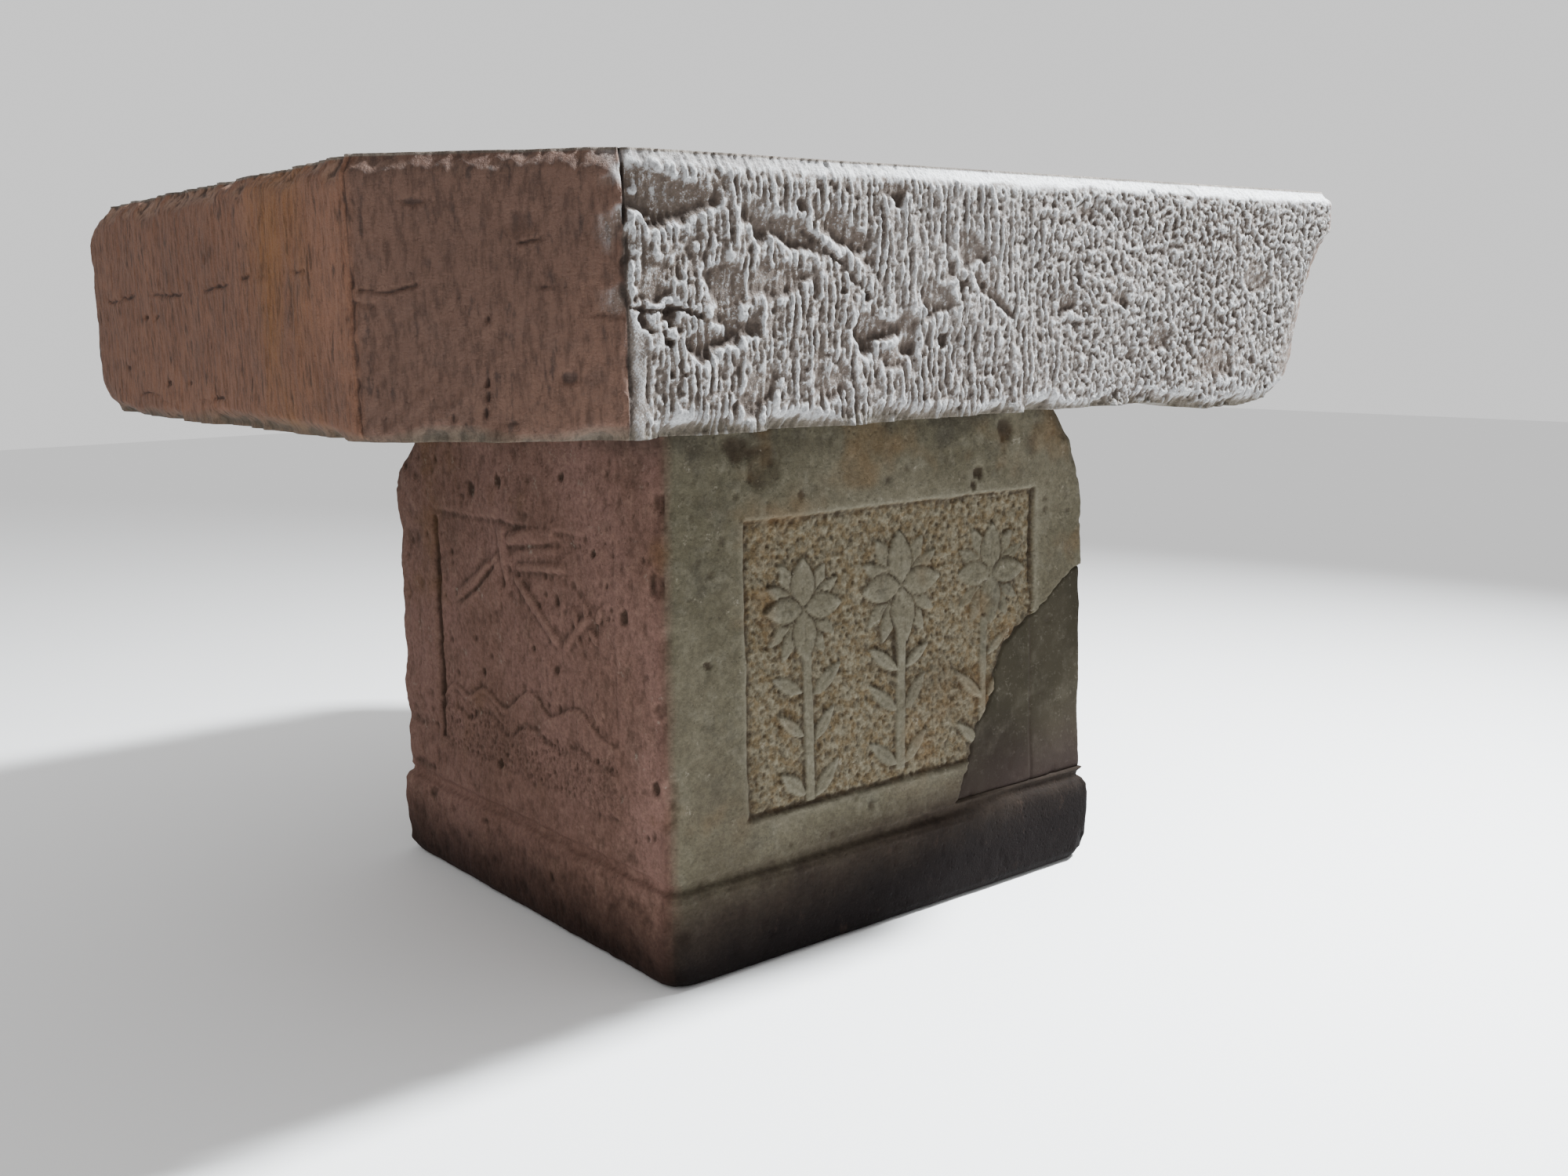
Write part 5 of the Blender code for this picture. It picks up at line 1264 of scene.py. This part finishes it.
def rubber_finish():
    """Black rubber with a dull grey bloom."""
    s = Shader("rubber_finish", roughness=0.7)
    bloom = s.noise(70.0, 4.0, 0.6)
    colour = s.mix(s.between(bloom, 0.40, 0.70), (0.014, 0.014, 0.014), (0.050, 0.048, 0.045))
    return s.finish(colour, s.bump(s.noise(900.0, 2.0), 0.2, 0.0003), s.between(bloom, 0.3, 0.7, 0.6, 0.85))


rubber = rubber_finish()
repaint("drain_washer", rubber)

# The plug: a tapered brass stopper with a rubber seal held in its groove and an eye on its head.
# It lifts straight up out of the outlet, and the ring through its eye turns up to be pulled.
plug_top = seat_top + 0.003
eye_height = plug_top + 0.0085
stopper = turned("plug_brass", [
    (0, seat_low + 0.002), (0.0144, seat_low + 0.002), (0.0150, seat_low + 0.0024),
    (0.0156, seat_low + 0.0050), (0.0153, seat_low + 0.0058), (0.0131, seat_low + 0.0065),
    (0.0130, seat_low + 0.0070), (0.0130, seat_low + 0.0110), (0.0133, seat_low + 0.0116),
    (0.0166, seat_low + 0.0130), (0.0180, seat_top - 0.0005), (0.0205, seat_top + 0.0004),
    (0.0213, seat_top + 0.0008), (0.0215, seat_top + 0.0013), (0.0213, seat_top + 0.0018),
    (0.0204, seat_top + 0.0023), (0.0188, plug_top - 0.0001), (0.0160, plug_top),
    (0.0156, plug_top - 0.0003), (0.0152, plug_top), (0.0100, plug_top), (0, plug_top)])
seal = turned("plug_seal_rubber", [
    (0.0133, seat_low + 0.0069), (0.0164, seat_low + 0.0069), (0.0168, seat_low + 0.0072),
    (0.0170, seat_low + 0.0085), (0.0170, seat_low + 0.0098), (0.0167, seat_low + 0.0106),
    (0.0163, seat_low + 0.0108), (0.0133, seat_low + 0.0108)])
# the eye is a small round-headed plate with a hole through it, standing on the stopper's head
angle = np.arange(64) * 2 * math.pi / 64
across, upright = np.maximum(np.abs(np.cos(angle)), 1e-6), np.maximum(np.abs(np.sin(angle)), 1e-6)
plate = np.where(np.sin(angle) >= -0.1, 0.0068, np.minimum(0.0073 / across, 0.0095 / upright))
eye_rings = []
for radius, y in ((plate - 0.0004, -0.0015), (plate, -0.0011), (plate, 0.0011), (plate - 0.0004, 0.0015),
                  (0.0035, 0.0015), (0.0031, 0.0011), (0.0031, -0.0011), (0.0035, -0.0015)):
    eye_rings.append(np.stack([radius * np.cos(angle), 0 * angle + y, eye_height + radius * np.sin(angle)], -1))
eye = mesh_piece("plug_eye_brass", np.concatenate(eye_rings), ring_quads(8, 64, close=True))

ring_radius, wire, droop = 0.018, 0.002, math.radians(17.0)
a = (np.arange(96) * 2 * math.pi / 96)[:, None]
b = (np.arange(16) * 2 * math.pi / 16)[None, :]
reach = ring_radius + wire * np.cos(b) + 0 * a
flat_x, flat_y, flat_z = ring_radius + reach * np.cos(a), reach * np.sin(a), wire * np.sin(b) + 0 * a
ring_points = np.stack([flat_x * math.cos(droop) + flat_z * math.sin(droop), flat_y,
                        eye_height - flat_x * math.sin(droop) + flat_z * math.cos(droop)], -1)
pull_ring = mesh_piece("pull_ring_brass", ring_points.reshape(-1, 3), ring_quads(96, 16, close=True))
for piece, body, node, slot, finish in (
        (stopper, "stopper", "plug_stopper", "brass", worn_brass),
        (eye, "stopper", "plug_stopper", "brass", worn_brass),
        (seal, "stopper", "plug_seal", "seal_rubber", rubber),
        (pull_ring, "pull_ring", "plug_ring", "brass", worn_brass)):
    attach(piece, body)
    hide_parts(node)
    piece.data.materials.append(finish)


# The studio: a pale painted floor, one cool light raking down the slab's front from high on the
# right, and even light from all round. The camera stands off the font's left front corner.
floor = mesh_piece("floor", [(-9, -9, 0), (9, -9, 0), (9, 9, 0), (-9, 9, 0)], np.array([[0, 1, 2, 3]]))
paint = Shader("floor_paint", roughness=0.9)
floor.data.materials.append(paint.finish((0.80, 0.80, 0.80)))


light = bpy.data.lights.new("raking_light", "AREA")
light.shape, light.size, light.size_y = "RECTANGLE", 0.35, 0.35
light.energy, light.color, light.spread = 340.0, (0.92, 0.97, 1.0), math.radians(100.0)
lamp = bpy.data.objects.new("raking_light", light)
lamp.location = (2.3, -1.35, 3.4)
lamp.rotation_euler = (Vector((0.0, -0.563, 0.78)) - lamp.location).to_track_quat("-Z", "Y").to_euler()
bpy.context.scene.collection.objects.link(lamp)

world = bpy.data.worlds.new("studio_air")
world.use_nodes = True
world.node_tree.nodes["Background"].inputs["Color"].default_value = (1.0, 1.0, 1.0, 1.0)
world.node_tree.nodes["Background"].inputs["Strength"].default_value = 1.0
bpy.context.scene.world = world

camera = bpy.data.objects.new("camera", bpy.data.cameras.new("camera"))
camera.data.sensor_width = 36.0
camera.data.lens = 35.62
camera.data.clip_start, camera.data.clip_end = 0.05, 60.0
yaw, pitch, roll = math.radians(38.68), math.radians(9.94), math.radians(0.90)
ahead = Vector((math.sin(yaw) * math.cos(pitch), math.cos(yaw) * math.cos(pitch), -math.sin(pitch)))
right = Vector((math.cos(yaw), -math.sin(yaw), 0.0))
down = ahead.cross(right)
right, down = (math.cos(roll) * right + math.sin(roll) * down,
               -math.sin(roll) * right + math.cos(roll) * down)
camera.matrix_world = (Matrix.Translation((-1.2789, -1.7000, 0.7555))
                       @ Matrix((right, -down, -ahead)).transposed().to_4x4())
bpy.context.scene.collection.objects.link(camera)
bpy.context.scene.camera = camera
